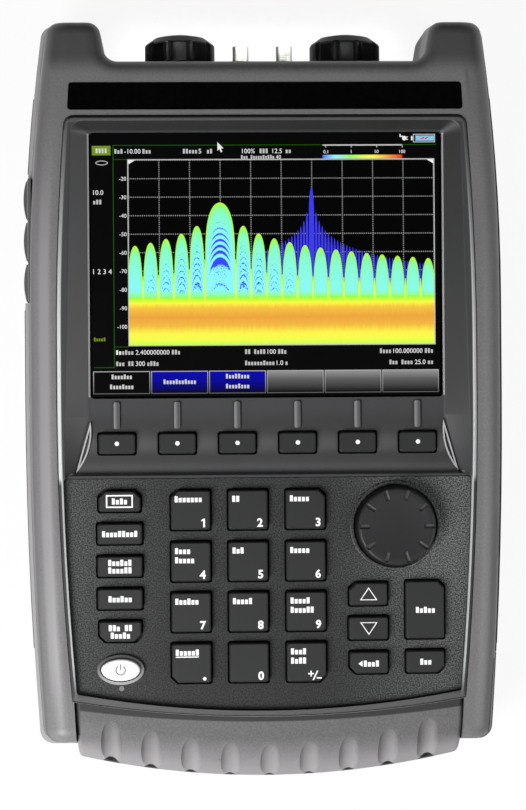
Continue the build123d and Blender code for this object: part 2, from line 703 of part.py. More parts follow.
def flute_at(step):
    """Start on the front face and slope of one scallop."""
    share = (step / FLUTE_SPOTS[-1]) ** 2
    start = FLUTE_TOP[0] + (FLUTE_TOP[1] - FLUTE_TOP[0]) * share
    end = FLUTE_END[0] + (FLUTE_END[1] - FLUTE_END[0]) * share
    run = Vector(0, end - start, -FLUTE_DROP).normalized()
    out = Vector(0, run.Z, -run.Y)
    centre = Vector(step * FLUTE_PITCH, start, BUMPER_Z[1]) + out * FLUTE_R
    return Plane(origin=centre, x_dir=(1, 0, 0), z_dir=run)


with BuildPart() as bottom_bumper:
    with BuildSketch(Plane.XY.offset(BUMPER_Z[0])):
        add(BUMPER_FACE)
    extrude(amount=BUMPER_Z[1] - BUMPER_Z[0])
    outer = bottom_bumper.edges().filter_by(lambda e: e.center().Y < BUMPER_END_Y)
    fillet(outer.filter_by(lambda e: abs(e.center().Z - BUMPER_Z[1]) < EPS), BUMPER_R)
    outer = bottom_bumper.edges().filter_by(lambda e: e.center().Y < BUMPER_END_Y)
    fillet(outer.filter_by(lambda e: abs(e.center().Z - BUMPER_Z[0]) < EPS), BUMPER_REAR_R)
    sides = bottom_bumper.faces().filter_by(lambda f: abs(f.center().X) > BUMPER_HALF[1] - EPS)
    fillet(sides.edges().filter_by(lambda e: e.center().Y < Y_BEZEL_LOW - EPS), BUMPER_SIDE_R)
    block((-CASE.half, CASE.half), (Y_FOOT, 0), (0, BUMPER_SEAT), Mode.SUBTRACT)
    for step in FLUTE_SPOTS:
        with BuildSketch(flute_at(step)):
            Circle(FLUTE_R)
        extrude(amount=FLUTE_L, both=True, mode=Mode.SUBTRACT)
export(bottom_bumper.part, "bottom_bumper")

# Bare name strip
with BuildPart() as name_plate:
    with BuildSketch(Plane.XY.offset(Z_FRAME - STRIP_POCKET)):
        add(STRIP_FACE)
    extrude(amount=STRIP_T)
export(name_plate.part, "name_plate")

# Front plate with screen tray, softkey holes and keypad opening
KEY_ROOM = {k.name: key_face(k.w, k.h, k.slants) for k in PANEL_KEYS + SOFT_KEYS}
KEY_CAP = {k.name: key_face(k.w - 2 * KEY_GAP, k.h - 2 * KEY_GAP, k.slants) for k in PANEL_KEYS + SOFT_KEYS}
KEY_FLANGE = {k.name: key_face(k.w + 2 * FLANGE_LAP, k.h + 2 * FLANGE_LAP, k.slants)
              for k in PANEL_KEYS + SOFT_KEYS}
WINDOW_H = WINDOW_Y[1] - WINDOW_Y[0]
WINDOW_XY = (0, (WINDOW_Y[0] + WINDOW_Y[1]) / 2)


def tray_face(spots, corner):
    """Outline of the screen tray at one depth."""
    with BuildSketch() as face:
        with BuildLine():
            Polyline(*spots, *((-x, y) for x, y in reversed(spots)), close=True)
        make_face()
        fillet(face.vertices().sort_by(Axis.Y)[-2:], corner)
    return face.sketch


TRAY_FACES = [tray_face(spots, corner) for spots, corner in zip((TRAY_FLOOR, TRAY_RIM), TRAY_CORNER)]

with BuildPart() as display_bezel:
    with BuildSketch(Plane.XY.offset(Z_LEDGE)):
        add(BEZEL_FACE)
    extrude(amount=Z_RIM - Z_LEDGE)
    rim = display_bezel.edges().filter_by(lambda e: abs(e.center().Z - Z_RIM) < RIM_CHAMFER / 2)
    chamfer(rim, RIM_CHAMFER)
    with BuildSketch(Plane.XY.offset(Z_TRAY_UNDER)):
        add(UNDER_FACE)
    extrude(amount=Z_LEDGE - Z_TRAY_UNDER)
    with BuildSketch(Plane.XY.offset(Z_TRAY)):
        add(TRAY_FACES[0])
    with BuildSketch(Plane.XY.offset(Z_RIM)):
        add(TRAY_FACES[1])
    loft(ruled=True, mode=Mode.SUBTRACT)
    with BuildSketch(Plane.XY.offset(Z_PANEL_UNDER)):
        add(POCKET_FACE)
    extrude(amount=Z_RIM - Z_PANEL_UNDER, mode=Mode.SUBTRACT)
    block((-LIP_W, LIP_W), LIP_Y, (Z_PANEL, Z_RIM), Mode.SUBTRACT)
    with BuildSketch(Plane.XY.offset(Z_TRAY_UNDER)):
        add(KEYWAY_FACE)
    extrude(amount=Z_PANEL_UNDER - Z_TRAY_UNDER, mode=Mode.SUBTRACT)
    with BuildSketch(Plane.XY.offset(Z_TRAY_UNDER)):
        with Locations(WINDOW_XY):
            RectangleRounded(WINDOW_W, WINDOW_H, WINDOW_CORNER)
    extrude(amount=Z_TRAY - Z_TRAY_UNDER, mode=Mode.SUBTRACT)
    with BuildSketch(Plane.XY.offset(Z_TRAY_UNDER)):
        with Locations(WINDOW_XY):
            Rectangle(WINDOW_W + 2 * WINDOW_LAP, WINDOW_H + 2 * WINDOW_LAP)
    extrude(amount=WINDOW_T, mode=Mode.SUBTRACT)
    with BuildSketch(Plane.XY.offset(Z_TRAY)):
        with Locations(*((x, RIB_Y) for x in SOFTKEY_X)):
            RectangleRounded(RIB_W, RIB_H, RIB_CORNER)
    extrude(amount=RIB_T)
    with BuildSketch(Plane.XY.offset(Z_TRAY_UNDER)):
        for k in SOFT_KEYS:
            with Locations((k.x, k.y)):
                add(KEY_ROOM[k.name])
    extrude(amount=Z_TRAY - Z_TRAY_UNDER, mode=Mode.SUBTRACT)
export(display_bezel.part, "display_bezel")

# Bright trims: two crescents and the ring of the power key
TRIM_MIDDLE = ((TRIM_TIPS[0][0] + TRIM_TIPS[1][0]) / 2 - TRIM_BOW, (TRIM_TIPS[0][1] + TRIM_TIPS[1][1]) / 2)

with BuildPart() as bright_trims:
    for side in (1, -1):
        with BuildSketch(Plane.XY.offset(Z_TRAY)):
            with BuildLine():
                Line(*((side * x, y) for x, y in TRIM_TIPS))
                ThreePointArc(*((side * x, y) for x, y in (TRIM_TIPS[0], TRIM_MIDDLE, TRIM_TIPS[1])))
            make_face()
            offset(amount=-TRIM_LINE, mode=Mode.SUBTRACT)
        extrude(amount=TRIM_T)
    with BuildSketch(Plane.XY.offset(Z_PANEL)):
        with Locations(POWER_XY):
            Ellipse(POWER_RX + POWER_GAP + POWER_RING, POWER_RY + POWER_GAP + POWER_RING)
            Ellipse(POWER_RX + POWER_GAP, POWER_RY + POWER_GAP, mode=Mode.SUBTRACT)
    extrude(amount=POWER_RING_T)
export(bright_trims.part, "bright_trims")

# Keypad panel with its posts for the key board
with BuildPart() as keypad_panel:
    with BuildSketch(Plane.XY.offset(Z_PANEL_UNDER)):
        add(PANEL_FACE)
        for k in PANEL_KEYS:
            with Locations((k.x, k.y)):
                add(KEY_ROOM[k.name], mode=Mode.SUBTRACT)
        with Locations(POWER_XY):
            Ellipse(POWER_RX + POWER_GAP, POWER_RY + POWER_GAP, mode=Mode.SUBTRACT)
        with Locations(LAMP_XY):
            Circle(LAMP_R + SCREW_FIT, mode=Mode.SUBTRACT)
        with Locations(KNOB_XY):
            Circle(BUSH_R + SLACK, mode=Mode.SUBTRACT)
    extrude(amount=Z_PANEL - Z_PANEL_UNDER)
    with BuildSketch(Plane.XY.offset(Z_PANEL)):
        with Locations(KNOB_XY):
            Circle(KNOB_WELL_R + KNOB_RING_W)
    extrude(amount=KNOB_RING_T, taper=RING_TAPER)
    rods((KNOB_XY,), KNOB_WELL_R, (Z_PANEL - KNOB_WELL_T, Z_PANEL + KNOB_RING_T), Mode.SUBTRACT)
    rods(POST_XY, POST_R, (Z_BOARD, Z_PANEL_UNDER))
export(keypad_panel.part, "keypad_panel")

# Glass over the display, set into the tray from behind
with BuildPart() as display_window:
    with BuildSketch(Plane.XY.offset(Z_TRAY_UNDER)):
        with Locations(WINDOW_XY):
            Rectangle(WINDOW_W + 2 * WINDOW_LAP - 2 * SEAM_GAP, WINDOW_H + 2 * WINDOW_LAP - 2 * SEAM_GAP)
    extrude(amount=WINDOW_T)
export(display_window.part, "display_window")

# Display module with its stepped back
with BuildPart() as lcd_module:
    block((-LCD_W / 2, LCD_W / 2), LCD_Y, (Z_TRAY_UNDER - LCD_STEP, Z_TRAY_UNDER))
    block((LCD_BACK - LCD_W / 2, LCD_W / 2 - LCD_BACK), (LCD_Y[0] + LCD_BACK, LCD_Y[1] - LCD_BACK),
          (Z_TRAY_UNDER - LCD_T, Z_TRAY_UNDER - LCD_STEP))
export(lcd_module.part, "lcd_module")

# Rubber sheet with one dome under each key
with BuildPart() as key_membrane:
    with BuildSketch(Plane.XY.offset(Z_BOARD)):
        with Locations((0, (BOARD_Y[0] + BOARD_Y[1]) / 2)):
            Rectangle(BOARD_W - 2 * SHEET_MARGIN, BOARD_Y[1] - BOARD_Y[0] - 2 * SHEET_MARGIN)
        with Locations(*POST_XY):
            Circle(POST_R + SLACK, mode=Mode.SUBTRACT)
        with Locations(KNOB_XY):
            Rectangle(ENCODER_W + 2 * SLACK, ENCODER_W + 2 * SLACK, mode=Mode.SUBTRACT)
    extrude(amount=SHEET_T)
    with BuildSketch(Plane.XY.offset(Z_SHEET)):
        with Locations(*KEY_SPOTS):
            Rectangle(DOME_W, DOME_W)
    extrude(amount=DOME_T, taper=DOME_TAPER)
export(key_membrane.part, "key_membrane")

# Circuit board behind the keys
with BuildPart() as key_board:
    block((-BOARD_W / 2, BOARD_W / 2), BOARD_Y, (Z_BOARD - BOARD_T, Z_BOARD))
export(key_board.part, "key_board")

# Push keys
for k in PANEL_KEYS:
    make_key(k.name, k.x, k.y, (KEY_CAP[k.name], KEY_FLANGE[k.name]), Z_PANEL, Z_PANEL_UNDER, Z_KEY_TOP)
for k in SOFT_KEYS:
    make_key(k.name, k.x, k.y, (KEY_CAP[k.name], KEY_FLANGE[k.name]), Z_TRAY, Z_TRAY_UNDER, Z_SOFTKEY_TOP)
POWER_FLANGE = oval_face(POWER_RX + POWER_GAP + FLANGE_LAP, POWER_RY + POWER_GAP + FLANGE_LAP)
make_key("power_key", *POWER_XY, (oval_face(POWER_RX, POWER_RY), POWER_FLANGE),
         Z_PANEL, Z_PANEL_UNDER, Z_KEY_TOP)

# Lamp below the power key
with BuildPart() as status_lamp:
    rods((LAMP_XY,), LAMP_R, (Z_PANEL_UNDER, Z_PANEL + LAMP_PROUD))
    rods((LAMP_XY,), LAMP_FOOT_R, (Z_PANEL_UNDER - LAMP_FOOT_T, Z_PANEL_UNDER))
export(status_lamp.part, "status_lamp")

# Rotary knob on its encoder
Z_KNOB = Z_PANEL - KNOB_WELL_T + LIFT_GAP
DISH_SPHERE = (KNOB_DISH_R ** 2 + KNOB_DISH ** 2) / (2 * KNOB_DISH)

with BuildPart() as rotary_knob:
    with BuildSketch(Plane.XY.offset(Z_KNOB)):
        with Locations(KNOB_XY):
            Circle(KNOB_R)
    extrude(amount=Z_TOP - Z_KNOB, taper=KNOB_TAPER)
    fillet(rotary_knob.edges().filter_by(lambda e: abs(e.center().Z - Z_TOP) < KNOB_EDGE), KNOB_EDGE)
    with Locations((*KNOB_XY, Z_TOP - KNOB_DISH + DISH_SPHERE)):
        Sphere(DISH_SPHERE, mode=Mode.SUBTRACT)
    with Locations((*KNOB_XY, Z_TOP)):
        with PolarLocations(NOTCH_IN + NOTCH_L / 2, KNOB_NOTCHES):
            Cylinder(NOTCH_R, NOTCH_L, rotation=(0, 90, 0), mode=Mode.SUBTRACT)
    rods((KNOB_XY,), SHAFT_R + RUN_GAP, (Z_KNOB, SHAFT_TOP + SLACK), Mode.SUBTRACT)
export(rotary_knob.part, "rotary_knob")

with BuildPart() as knob_encoder:
    block((KNOB_XY[0] - ENCODER_W / 2, KNOB_XY[0] + ENCODER_W / 2),
          (KNOB_XY[1] - ENCODER_W / 2, KNOB_XY[1] + ENCODER_W / 2), (Z_BOARD, Z_BOARD + ENCODER_T))
    rods((KNOB_XY,), BUSH_R, (Z_BOARD + ENCODER_T, Z_KNOB - LIFT_GAP))
    rods((KNOB_XY,), SHAFT_R, (Z_KNOB - LIFT_GAP, SHAFT_TOP))
export(knob_encoder.part, "knob_encoder")

# Main circuit board with its larger chips
with BuildPart() as main_board:
    block(MAIN_X, MAIN_Y, (MAIN_Z, MAIN_Z + BOARD_T))
    for x, y, w, h, t in CHIPS:
        block((x - w / 2, x + w / 2), (y - h / 2, y + h / 2), (MAIN_Z + BOARD_T, MAIN_Z + BOARD_T + t))
export(main_board.part, "main_board")

# Milled housing of the microwave circuits
LID_W = DECK_W - 2 * DECK_LID_EDGE
LID_H = DECK_Y[1] - DECK_Y[0] - 2 * DECK_LID_EDGE

with BuildPart() as rf_deck:
    block((-DECK_W / 2, DECK_W / 2), DECK_Y, (STAND_ROOF_Z, DECK_TOP))
    with BuildSketch(Plane.XY.offset(DECK_TOP - DECK_GROOVE)):
        with Locations((0, (DECK_Y[0] + DECK_Y[1]) / 2)):
            Rectangle(LID_W, LID_H)
            Rectangle(LID_W - 2 * DECK_GROOVE_W, LID_H - 2 * DECK_GROOVE_W, mode=Mode.SUBTRACT)
    extrude(amount=DECK_GROOVE, mode=Mode.SUBTRACT)
    rods(STANDOFF_DECK, STANDOFF_R, (DECK_TOP - DECK_GROOVE, MAIN_Z))
export(rf_deck.part, "rf_deck")

# Battery, its door and the latch in the door
with BuildPart() as battery_pack:
    block((BATTERY_X - BATTERY[0], BATTERY_X), BATTERY_Y, (FLOOR, FLOOR + BATTERY[2]))
    fillet(battery_pack.edges().filter_by(Axis.X), BATTERY_EDGE)
    block((BATTERY_X - BATTERY[0] - BATTERY_LUG[0], BATTERY_X - BATTERY[0]),
          (BATTERY_Y[0] + BATTERY[1] / 2 - BATTERY_LUG[1], BATTERY_Y[0] + BATTERY[1] / 2 + BATTERY_LUG[1]),
          (Z_PART - BATTERY_LUG[2], Z_PART))
export(battery_pack.part, "battery_pack")

LATCH_X = barrel_x(CASE, LATCH_Y, 0)
LATCH_ROOM = ((LATCH_X - LATCH_DEEP, CASE.half), (LATCH_Y - LATCH_W / 2, LATCH_Y + LATCH_W / 2),
              (LATCH_Z - LATCH_H / 2, LATCH_Z + LATCH_H / 2 + LATCH_TRAVEL))

with BuildPart() as battery_door:
    add(FRONT_BLANK)
    add(REAR_BLANK)
    with BuildSketch(Plane.XY.offset(DOOR_Z)):
        add(DOOR_FACE)
    extrude(amount=Z_FRAME - DOOR_Z, mode=Mode.INTERSECT)
    block(*LATCH_ROOM, Mode.SUBTRACT)
export(battery_door.part, "battery_door")

with BuildPart() as battery_latch:
    block((LATCH_ROOM[0][0] + LIFT_GAP, LATCH_X + LATCH_PROUD),
          (LATCH_ROOM[1][0] + LIFT_GAP, LATCH_ROOM[1][1] - LIFT_GAP),
          (LATCH_ROOM[2][0] + LIFT_GAP, LATCH_ROOM[2][1] - LATCH_TRAVEL - LIFT_GAP))
    for step in (-1, 0, 1):
        groove_z = LATCH_Z + step * LATCH_GROOVE_PITCH
        block((LATCH_X + LATCH_PROUD - LATCH_GRIP, LATCH_X + LATCH_PROUD), LATCH_ROOM[1],
              (groove_z - LATCH_GROOVE / 2, groove_z + LATCH_GROOVE / 2), Mode.SUBTRACT)
export(battery_latch.part, "battery_latch")

# Pins of the side flaps and of the kickstand
with BuildPart() as hinge_pins:
    bar((-FLAP_PIN_X, FLAP_PIN_Z), FLAP_PIN_R, (BAY_Y[0] - PIN_BITE, BAY_Y[1] + PIN_BITE))
    for side in (1, -1):
        with Locations((side * (STAND_WELL_X + STAND_PIN_BITE - STAND_PIN_L / 2), STAND_Y[1], STAND_PIN_Z)):
            Cylinder(STAND_PIN_R, STAND_PIN_L, rotation=(0, 90, 0))
export(hinge_pins.part, "hinge_pins")

# Flaps over the side jacks
for name, y in zip(("side_door_lower", "side_door_middle", "side_door_upper"), FLAP_CENTRES):
    ends = (y - FLAP_W / 2, y + FLAP_W / 2)
    with BuildPart() as flap:
        with BuildSketch(Plane.XY.offset(FLAP_Z[0])):
            with BuildLine():
                ThreePointArc((-FLAP_EDGE, ends[0]), (-FLAP_OUT, y), (-FLAP_EDGE, ends[1]))
                Polyline((-FLAP_EDGE, ends[1]), (-FLAP_IN, ends[1]),
                         (-FLAP_IN, ends[0]), (-FLAP_EDGE, ends[0]))
            make_face()
        extrude(amount=FLAP_Z[1] - FLAP_Z[0])
        with BuildSketch(Plane.XZ.offset(-y)):
            with BuildLine():
                Polyline((-FLAP_OUT, Z_PART), (-FLAP_OUT + FRONT_STEP, Z_PART),
                         (-FLAP_OUT + FRONT_STEP + FLAP_LEAN, FLAP_Z[1]), (-FLAP_OUT, FLAP_Z[1]), close=True)
            make_face()
        extrude(amount=FLAP_W, both=True, mode=Mode.SUBTRACT)
        bar((-FLAP_PIN_X, FLAP_PIN_Z), FLAP_KNUCKLE_R, ends)
        bar((-FLAP_PIN_X, FLAP_PIN_Z), FLAP_PIN_R + RUN_GAP, ends, Mode.SUBTRACT)
    export(flap.part, name)

# Jacks behind the flaps
with BuildPart() as side_jacks:
    block((-BAY_BACK, -BAY_BACK + JACK_PLATE_T), BAY_BLOCK_Y, (BAY_Z[0] - BAY_WALL, BAY_Z[1]))
    for y, (w, h) in zip(FLAP_CENTRES, JACK_SLOTS):
        block((-BAY_BACK, -BAY_BACK + JACK_PLATE_T + JACK_DEEP),
              (y - w / 2 - JACK_WALL, y + w / 2 + JACK_WALL),
              (Z_PART - h / 2 - JACK_WALL, Z_PART + h / 2 + JACK_WALL))
        block((-BAY_BACK, -BAY_BACK + JACK_DEEP), (y - w / 2, y + w / 2), (Z_PART - h / 2, Z_PART + h / 2),
              Mode.SUBTRACT)
export(side_jacks.part, "side_jacks")

# Kickstand in the rear face
with BuildPart() as kickstand:
    with BuildSketch(Plane.XY.offset(STAND_Z)):
        with BuildLine():
            Polyline((-STAND_X, STAND_Y[0]), (STAND_X, STAND_Y[0]),
                     (STAND_X, STAND_Y[1]), (-STAND_X, STAND_Y[1]), close=True)
        stand_plate = make_face()
        fillet(stand_plate.vertices().sort_by(Axis.Y)[:2], STAND_CORNER)
        with Locations((0, (STAND_Y[0] + STAND_Y[1]) / 2)):
            RectangleRounded(2 * (STAND_X - STAND_LEG), STAND_Y[1] - STAND_Y[0] - 2 * STAND_LEG,
                             STAND_CORNER, mode=Mode.SUBTRACT)
    extrude(amount=STAND_T)
    with Locations((0, STAND_Y[1], STAND_PIN_Z)):
        Cylinder(STAND_BARREL_R, 2 * STAND_X, rotation=(0, 90, 0))
    for side in (1, -1):
        with Locations((side * STAND_X, STAND_Y[1], STAND_PIN_Z)):
            Cylinder(STAND_PIN_R + RUN_GAP, 2 * STAND_PIN_L, rotation=(0, 90, 0), mode=Mode.SUBTRACT)
export(kickstand.part, "kickstand")

# Microwave test ports and their protective caps
with BuildPart() as test_ports:
    for side in (1, -1):
        spot = (side * PORT_X, Z_PART)
        bar(spot, PORT_NECK_R, (DECK_Y[1], PORT_NECK_Y))
        bar(spot, PORT_THREAD_R, (PORT_NECK_Y, PORT_TIP_Y))
        bar(spot, PORT_BORE_R, (PORT_TIP_Y - PORT_BORE_L, PORT_TIP_Y), Mode.SUBTRACT)
export(test_ports.part, "test_ports")

for name, side in (("port_cap_left", -1), ("port_cap_right", 1)):
    with BuildPart() as cap:
        with BuildSketch(Plane.XY.offset(Z_PART)):
            with BuildLine():
                Polyline(*((side * PORT_X + r, y) for r, y in CAP_PROFILE), (side * PORT_X + CAP_R, CAP_Y),
                         (side * PORT_X, CAP_Y), close=True)
            make_face()
        revolve(axis=Axis((side * PORT_X, 0, Z_PART), (0, 1, 0)))
        with BuildSketch(end_plane(CAP_Y)):
            with Locations((side * PORT_X, 0)):
                with PolarLocations(CAP_R + CAP_FLUTE_R - CAP_FLUTE_IN, CAP_FLUTES):
                    Circle(CAP_FLUTE_R)
        extrude(amount=CAP_PROFILE[0][1] - CAP_Y, mode=Mode.SUBTRACT)
        bar((side * PORT_X, Z_PART), PORT_NECK_R + LIFT_GAP,
            (CAP_Y, CAP_PROFILE[0][1] - CAP_ROOF), Mode.SUBTRACT)
    export(cap.part, name)

# Small threaded jacks with their nuts
with BuildPart() as sma_jacks:
    for side in (1, -1):
        spot = (side * JACK_X, Z_PART)
        bar(spot, JACK_R, (DECK_Y[1], JACK_TIP_Y))
        bar(spot, JACK_BORE_R, (JACK_TIP_Y - JACK_BORE_L, JACK_TIP_Y), Mode.SUBTRACT)
        bar(spot, JACK_PIN_R, (JACK_TIP_Y - JACK_BORE_L, JACK_TIP_Y - JACK_PIN_R))
        with BuildSketch(end_plane(Y_END)):
            with Locations((side * JACK_X, 0)):
                RegularPolygon(JACK_NUT_R, 6)
                Circle(JACK_R, mode=Mode.SUBTRACT)
        extrude(amount=JACK_NUT_T)
export(sma_jacks.part, "sma_jacks")

# Screws that hold the case halves together
with BuildPart() as case_screws:
    rods(SCREW_XY, SCREW_HEAD_R, (HEAD_Z, HEAD_Z + SCREW_HEAD_T))
    rods(SCREW_XY, SCREW_R, (HEAD_Z + SCREW_HEAD_T, SCREW_TIP))
    for x, y in SCREW_XY:
        block((x - SCREW_HEAD_R, x + SCREW_HEAD_R), (y - SCREW_SLOT / 2, y + SCREW_SLOT / 2),
              (HEAD_Z, HEAD_Z + SCREW_SLOT), Mode.SUBTRACT)
export(case_screws.part, "case_screws")
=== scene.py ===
import math

import bmesh
import bpy
from bpy.props import FloatProperty, FloatVectorProperty, PointerProperty
from bpy.types import Operator, Panel, PropertyGroup
from mathutils import Matrix, Vector


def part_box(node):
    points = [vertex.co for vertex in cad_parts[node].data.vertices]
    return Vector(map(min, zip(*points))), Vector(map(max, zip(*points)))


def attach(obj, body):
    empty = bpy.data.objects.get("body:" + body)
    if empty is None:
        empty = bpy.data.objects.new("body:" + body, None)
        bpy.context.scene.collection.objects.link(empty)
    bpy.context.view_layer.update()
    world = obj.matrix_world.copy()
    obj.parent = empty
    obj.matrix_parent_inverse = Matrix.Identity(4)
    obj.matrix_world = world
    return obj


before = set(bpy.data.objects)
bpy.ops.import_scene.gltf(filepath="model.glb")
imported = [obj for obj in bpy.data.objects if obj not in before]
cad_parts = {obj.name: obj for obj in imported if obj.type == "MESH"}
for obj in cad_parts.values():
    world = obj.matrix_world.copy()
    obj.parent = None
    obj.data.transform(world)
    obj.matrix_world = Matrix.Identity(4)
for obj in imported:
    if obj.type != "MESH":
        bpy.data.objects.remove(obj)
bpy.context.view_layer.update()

bl_info = {
    "name": "Handheld Microwave Analyzer",
    "version": (1, 0, 0),
    "blender": (4, 5, 0),
    "location": "View3D > Sidebar > Analyzer",
    "description": "Dresses the analyzer with finishes, key legends and a running display",
    "category": "Object",
}

MM = 0.001

FUNCTION_KEYS = ("key_mode", "key_frequency", "key_scale", "key_marker", "key_tools")
NUMBER_KEYS = ("key_1", "key_2", "key_3", "key_4", "key_5", "key_6",
               "key_7", "key_8", "key_9", "key_point", "key_0", "key_sign")
CURSOR_KEYS = ("arrow_up", "arrow_down", "key_back", "key_enter", "key_escape")
SOFTKEYS = tuple(f"softkey_{i}" for i in range(1, 7))

# Distances between like features of the part, in millimetres.
SOFTKEY_PITCH = 23.0
SCALLOP_PITCH = 15.1
PORT_SPACING = 64.8
JACK_SPACING = 17.1


def tone(red, green, blue):
    """Linear colour from the three numbers of a paint chart, 0 to 255."""
    def linear(level):
        level /= 255
        return level / 12.92 if level <= 0.04045 else ((level + 0.055) / 1.055) ** 2.4
    return (linear(red), linear(green), linear(blue), 1.0)


def grey(level):
    return tone(level, level, level)


def shade(colour, share):
    """A colour made darker or lighter."""
    return tuple(min(1, part * share) for part in colour[:3]) + (1,)


BLACK, WHITE = grey(0), grey(255)


def middle_and_top(node):
    """Middle of a CAD node and the height of its top, in millimetres."""
    low, high = (Vector(corner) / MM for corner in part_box(node))
    return (low + high) / 2, high.z


def maths(operation, reflected=False):
    """A method that adds one Math node."""
    def method(field, *others):
        values = (*others, field) if reflected else (field, *others)
        return field.finish.node("ShaderNodeMath", {"operation": operation},
                                 dict(enumerate(values)))
    return method


class Field:
    """One number of a shader that is used like a Python value."""

    def __init__(self, finish, socket):
        self.finish = finish
        self.socket = socket

    __add__ = __radd__ = maths("ADD")
    __sub__ = maths("SUBTRACT")
    __rsub__ = maths("SUBTRACT", reflected=True)
    __mul__ = __rmul__ = maths("MULTIPLY")
    __truediv__ = maths("DIVIDE")
    __mod__ = maths("FLOORED_MODULO")
    __lt__ = maths("LESS_THAN")
    __gt__ = maths("GREATER_THAN")
    __abs__ = maths("ABSOLUTE")
    sine = maths("SINE")
    most = maths("MAXIMUM")
    least = maths("MINIMUM")

    def within(self, low, high):
        """1 between two values, 0 elsewhere."""
        return (self > low) * (self < high)

    def ease(self, low, high):
        """0 below low and 1 above high, eased between."""
        return self.finish.node("ShaderNodeMapRange", {"interpolation_type": "SMOOTHSTEP"},
                                {"Value": self, "From Min": low, "From Max": high})

    def fade(self, low, high):
        """1 below low and 0 above high, eased between."""
        return 1 - self.ease(low, high)


class Finish:
    """One procedural material."""

    def __init__(self, name, **sockets):
        self.material = bpy.data.materials.new(name)
        self.material.use_nodes = True
        self.tree = self.material.node_tree
        self.shader = self.tree.nodes["Principled BSDF"]
        self.spot = None
        self.set(**sockets)

    def set(self, **sockets):
        """Feeds the shader's sockets, named in lower case with underscores; gives the finish."""
        for name, value in sockets.items():
            words = name.replace("_", " ").title().replace("Ior", "IOR")
            self.feed(self.shader.inputs[words], value)
        return self

    def feed(self, socket, value):
        if isinstance(value, Field):
            self.tree.links.new(value.socket, socket)
        else:
            socket.default_value = value

    def node(self, kind, settings=None, sockets=None, output=0):
        """Any other node: its type, its settings, and what its sockets get."""
        node = self.tree.nodes.new(kind)
        for name, value in (settings or {}).items():
            if name == "stops":
                ramp = node.color_ramp
                while len(ramp.elements) < len(value):
                    ramp.elements.new(0.5)
                for stop, (place, colour) in zip(ramp.elements, value):
                    stop.position = place
                    stop.color = colour
            else:
                setattr(node, name, value)
        for key, value in (sockets or {}).items():
            self.feed(node.inputs[key], value)
        return Field(self, node.outputs[output])

    def place(self):
        """Object coordinates in metres."""
        if self.spot is None:
            self.spot = self.node("ShaderNodeTexCoord", output="Object")
        return self.spot

    def parts(self, vector):
        """The three numbers of a vector."""
        split = self.node("ShaderNodeSeparateXYZ", sockets={0: vector})
        return [Field(self, out) for out in split.socket.node.outputs]

    def axes(self):
        """Object coordinates as three numbers in millimetres."""
        return self.parts(self.node("ShaderNodeVectorMath", {"operation": "SCALE"},
                                    {0: self.place(), "Scale": 1 / MM}))

    def grain(self, size, detail=2.0, rough=0.5, stretch=None):
        """Cloudy noise with features about size millimetres across."""
        spot = self.place()
        if stretch:
            spot = self.node("ShaderNodeMapping", sockets={"Vector": spot, "Scale": stretch})
        return self.node("ShaderNodeTexNoise", sockets={
            "Vector": spot, "Scale": 1 / (size * MM), "Detail": detail, "Roughness": rough})

    def blend(self, share, first, second):
        """Colour between two colours."""
        return self.node("ShaderNodeMix", {"data_type": "RGBA"}, {0: share, 6: first, 7: second}, 2)

    def ramp(self, share, *stops):
        """Colour that changes along a row of stops."""
        return self.node("ShaderNodeValToRGB", {"stops": stops}, {0: share})

    def relief(self, height, depth, strength=1.0):
        """Raises the surface by height times depth millimetres."""
        self.set(normal=self.node("ShaderNodeBump", sockets={
            "Height": height, "Distance": depth * MM, "Strength": strength}))


def moulded(name, colour, rough, grain, depth, spread=0.10, gloss=0.5):
    """Moulded plastic or rubber: a pored skin with slow changes of shade."""
    cloud_size = 18.0
    finish = Finish(name, specular_ior_level=gloss)
    pores = finish.grain(grain, 3.0, 0.6)
    clouds = finish.grain(cloud_size)
    finish.skin = finish.blend(clouds * 0.4 + pores.ease(0.34, 0.66) * 0.6,
                               shade(colour, 1 - spread), shade(colour, 1 + spread))
    finish.set(base_color=finish.skin,
               roughness=(pores - 0.5) * 0.22 + (clouds - 0.5) * 0.08 + rough)
    finish.relief(pores, depth)
    return finish


def metal(name, colour, rough, stretch):
    """Machined metal with fine tool marks along one way."""
    finish = Finish(name, metallic=1.0)
    marks = finish.grain(0.5, 2.0, 0.6, stretch)
    finish.set(base_color=finish.blend(marks, shade(colour, 0.78), colour),
               roughness=(marks - 0.5) * 0.2 + rough)
    finish.relief(marks, 0.01)
    return finish


def hazy(name, colours, size, rough, spread, gloss):
    """Smooth glass or plastic with a faint haze."""
    finish = Finish(name, specular_ior_level=gloss)
    haze = finish.grain(size)
    return finish.set(base_color=finish.blend(haze, *colours), roughness=rough + haze * spread)


def glow(name, colour=None):
    """Lit picture element of the display, a little uneven from dot to dot."""
    finish = Finish(name, base_color=BLACK, roughness=0.4, specular_ior_level=0.1,
                    emission_strength=1.0)
    if colour:
        dots = finish.grain(0.4).ease(0.35, 0.6)
        finish.set(emission_color=finish.blend(dots, shade(colour, 0.84), colour))
    return finish


def mottled_glow(name, size, dim, bright):
    """Lit picture element with spots of two colours."""
    finish = glow(name)
    return finish.set(emission_color=finish.blend(finish.grain(size), dim, bright))


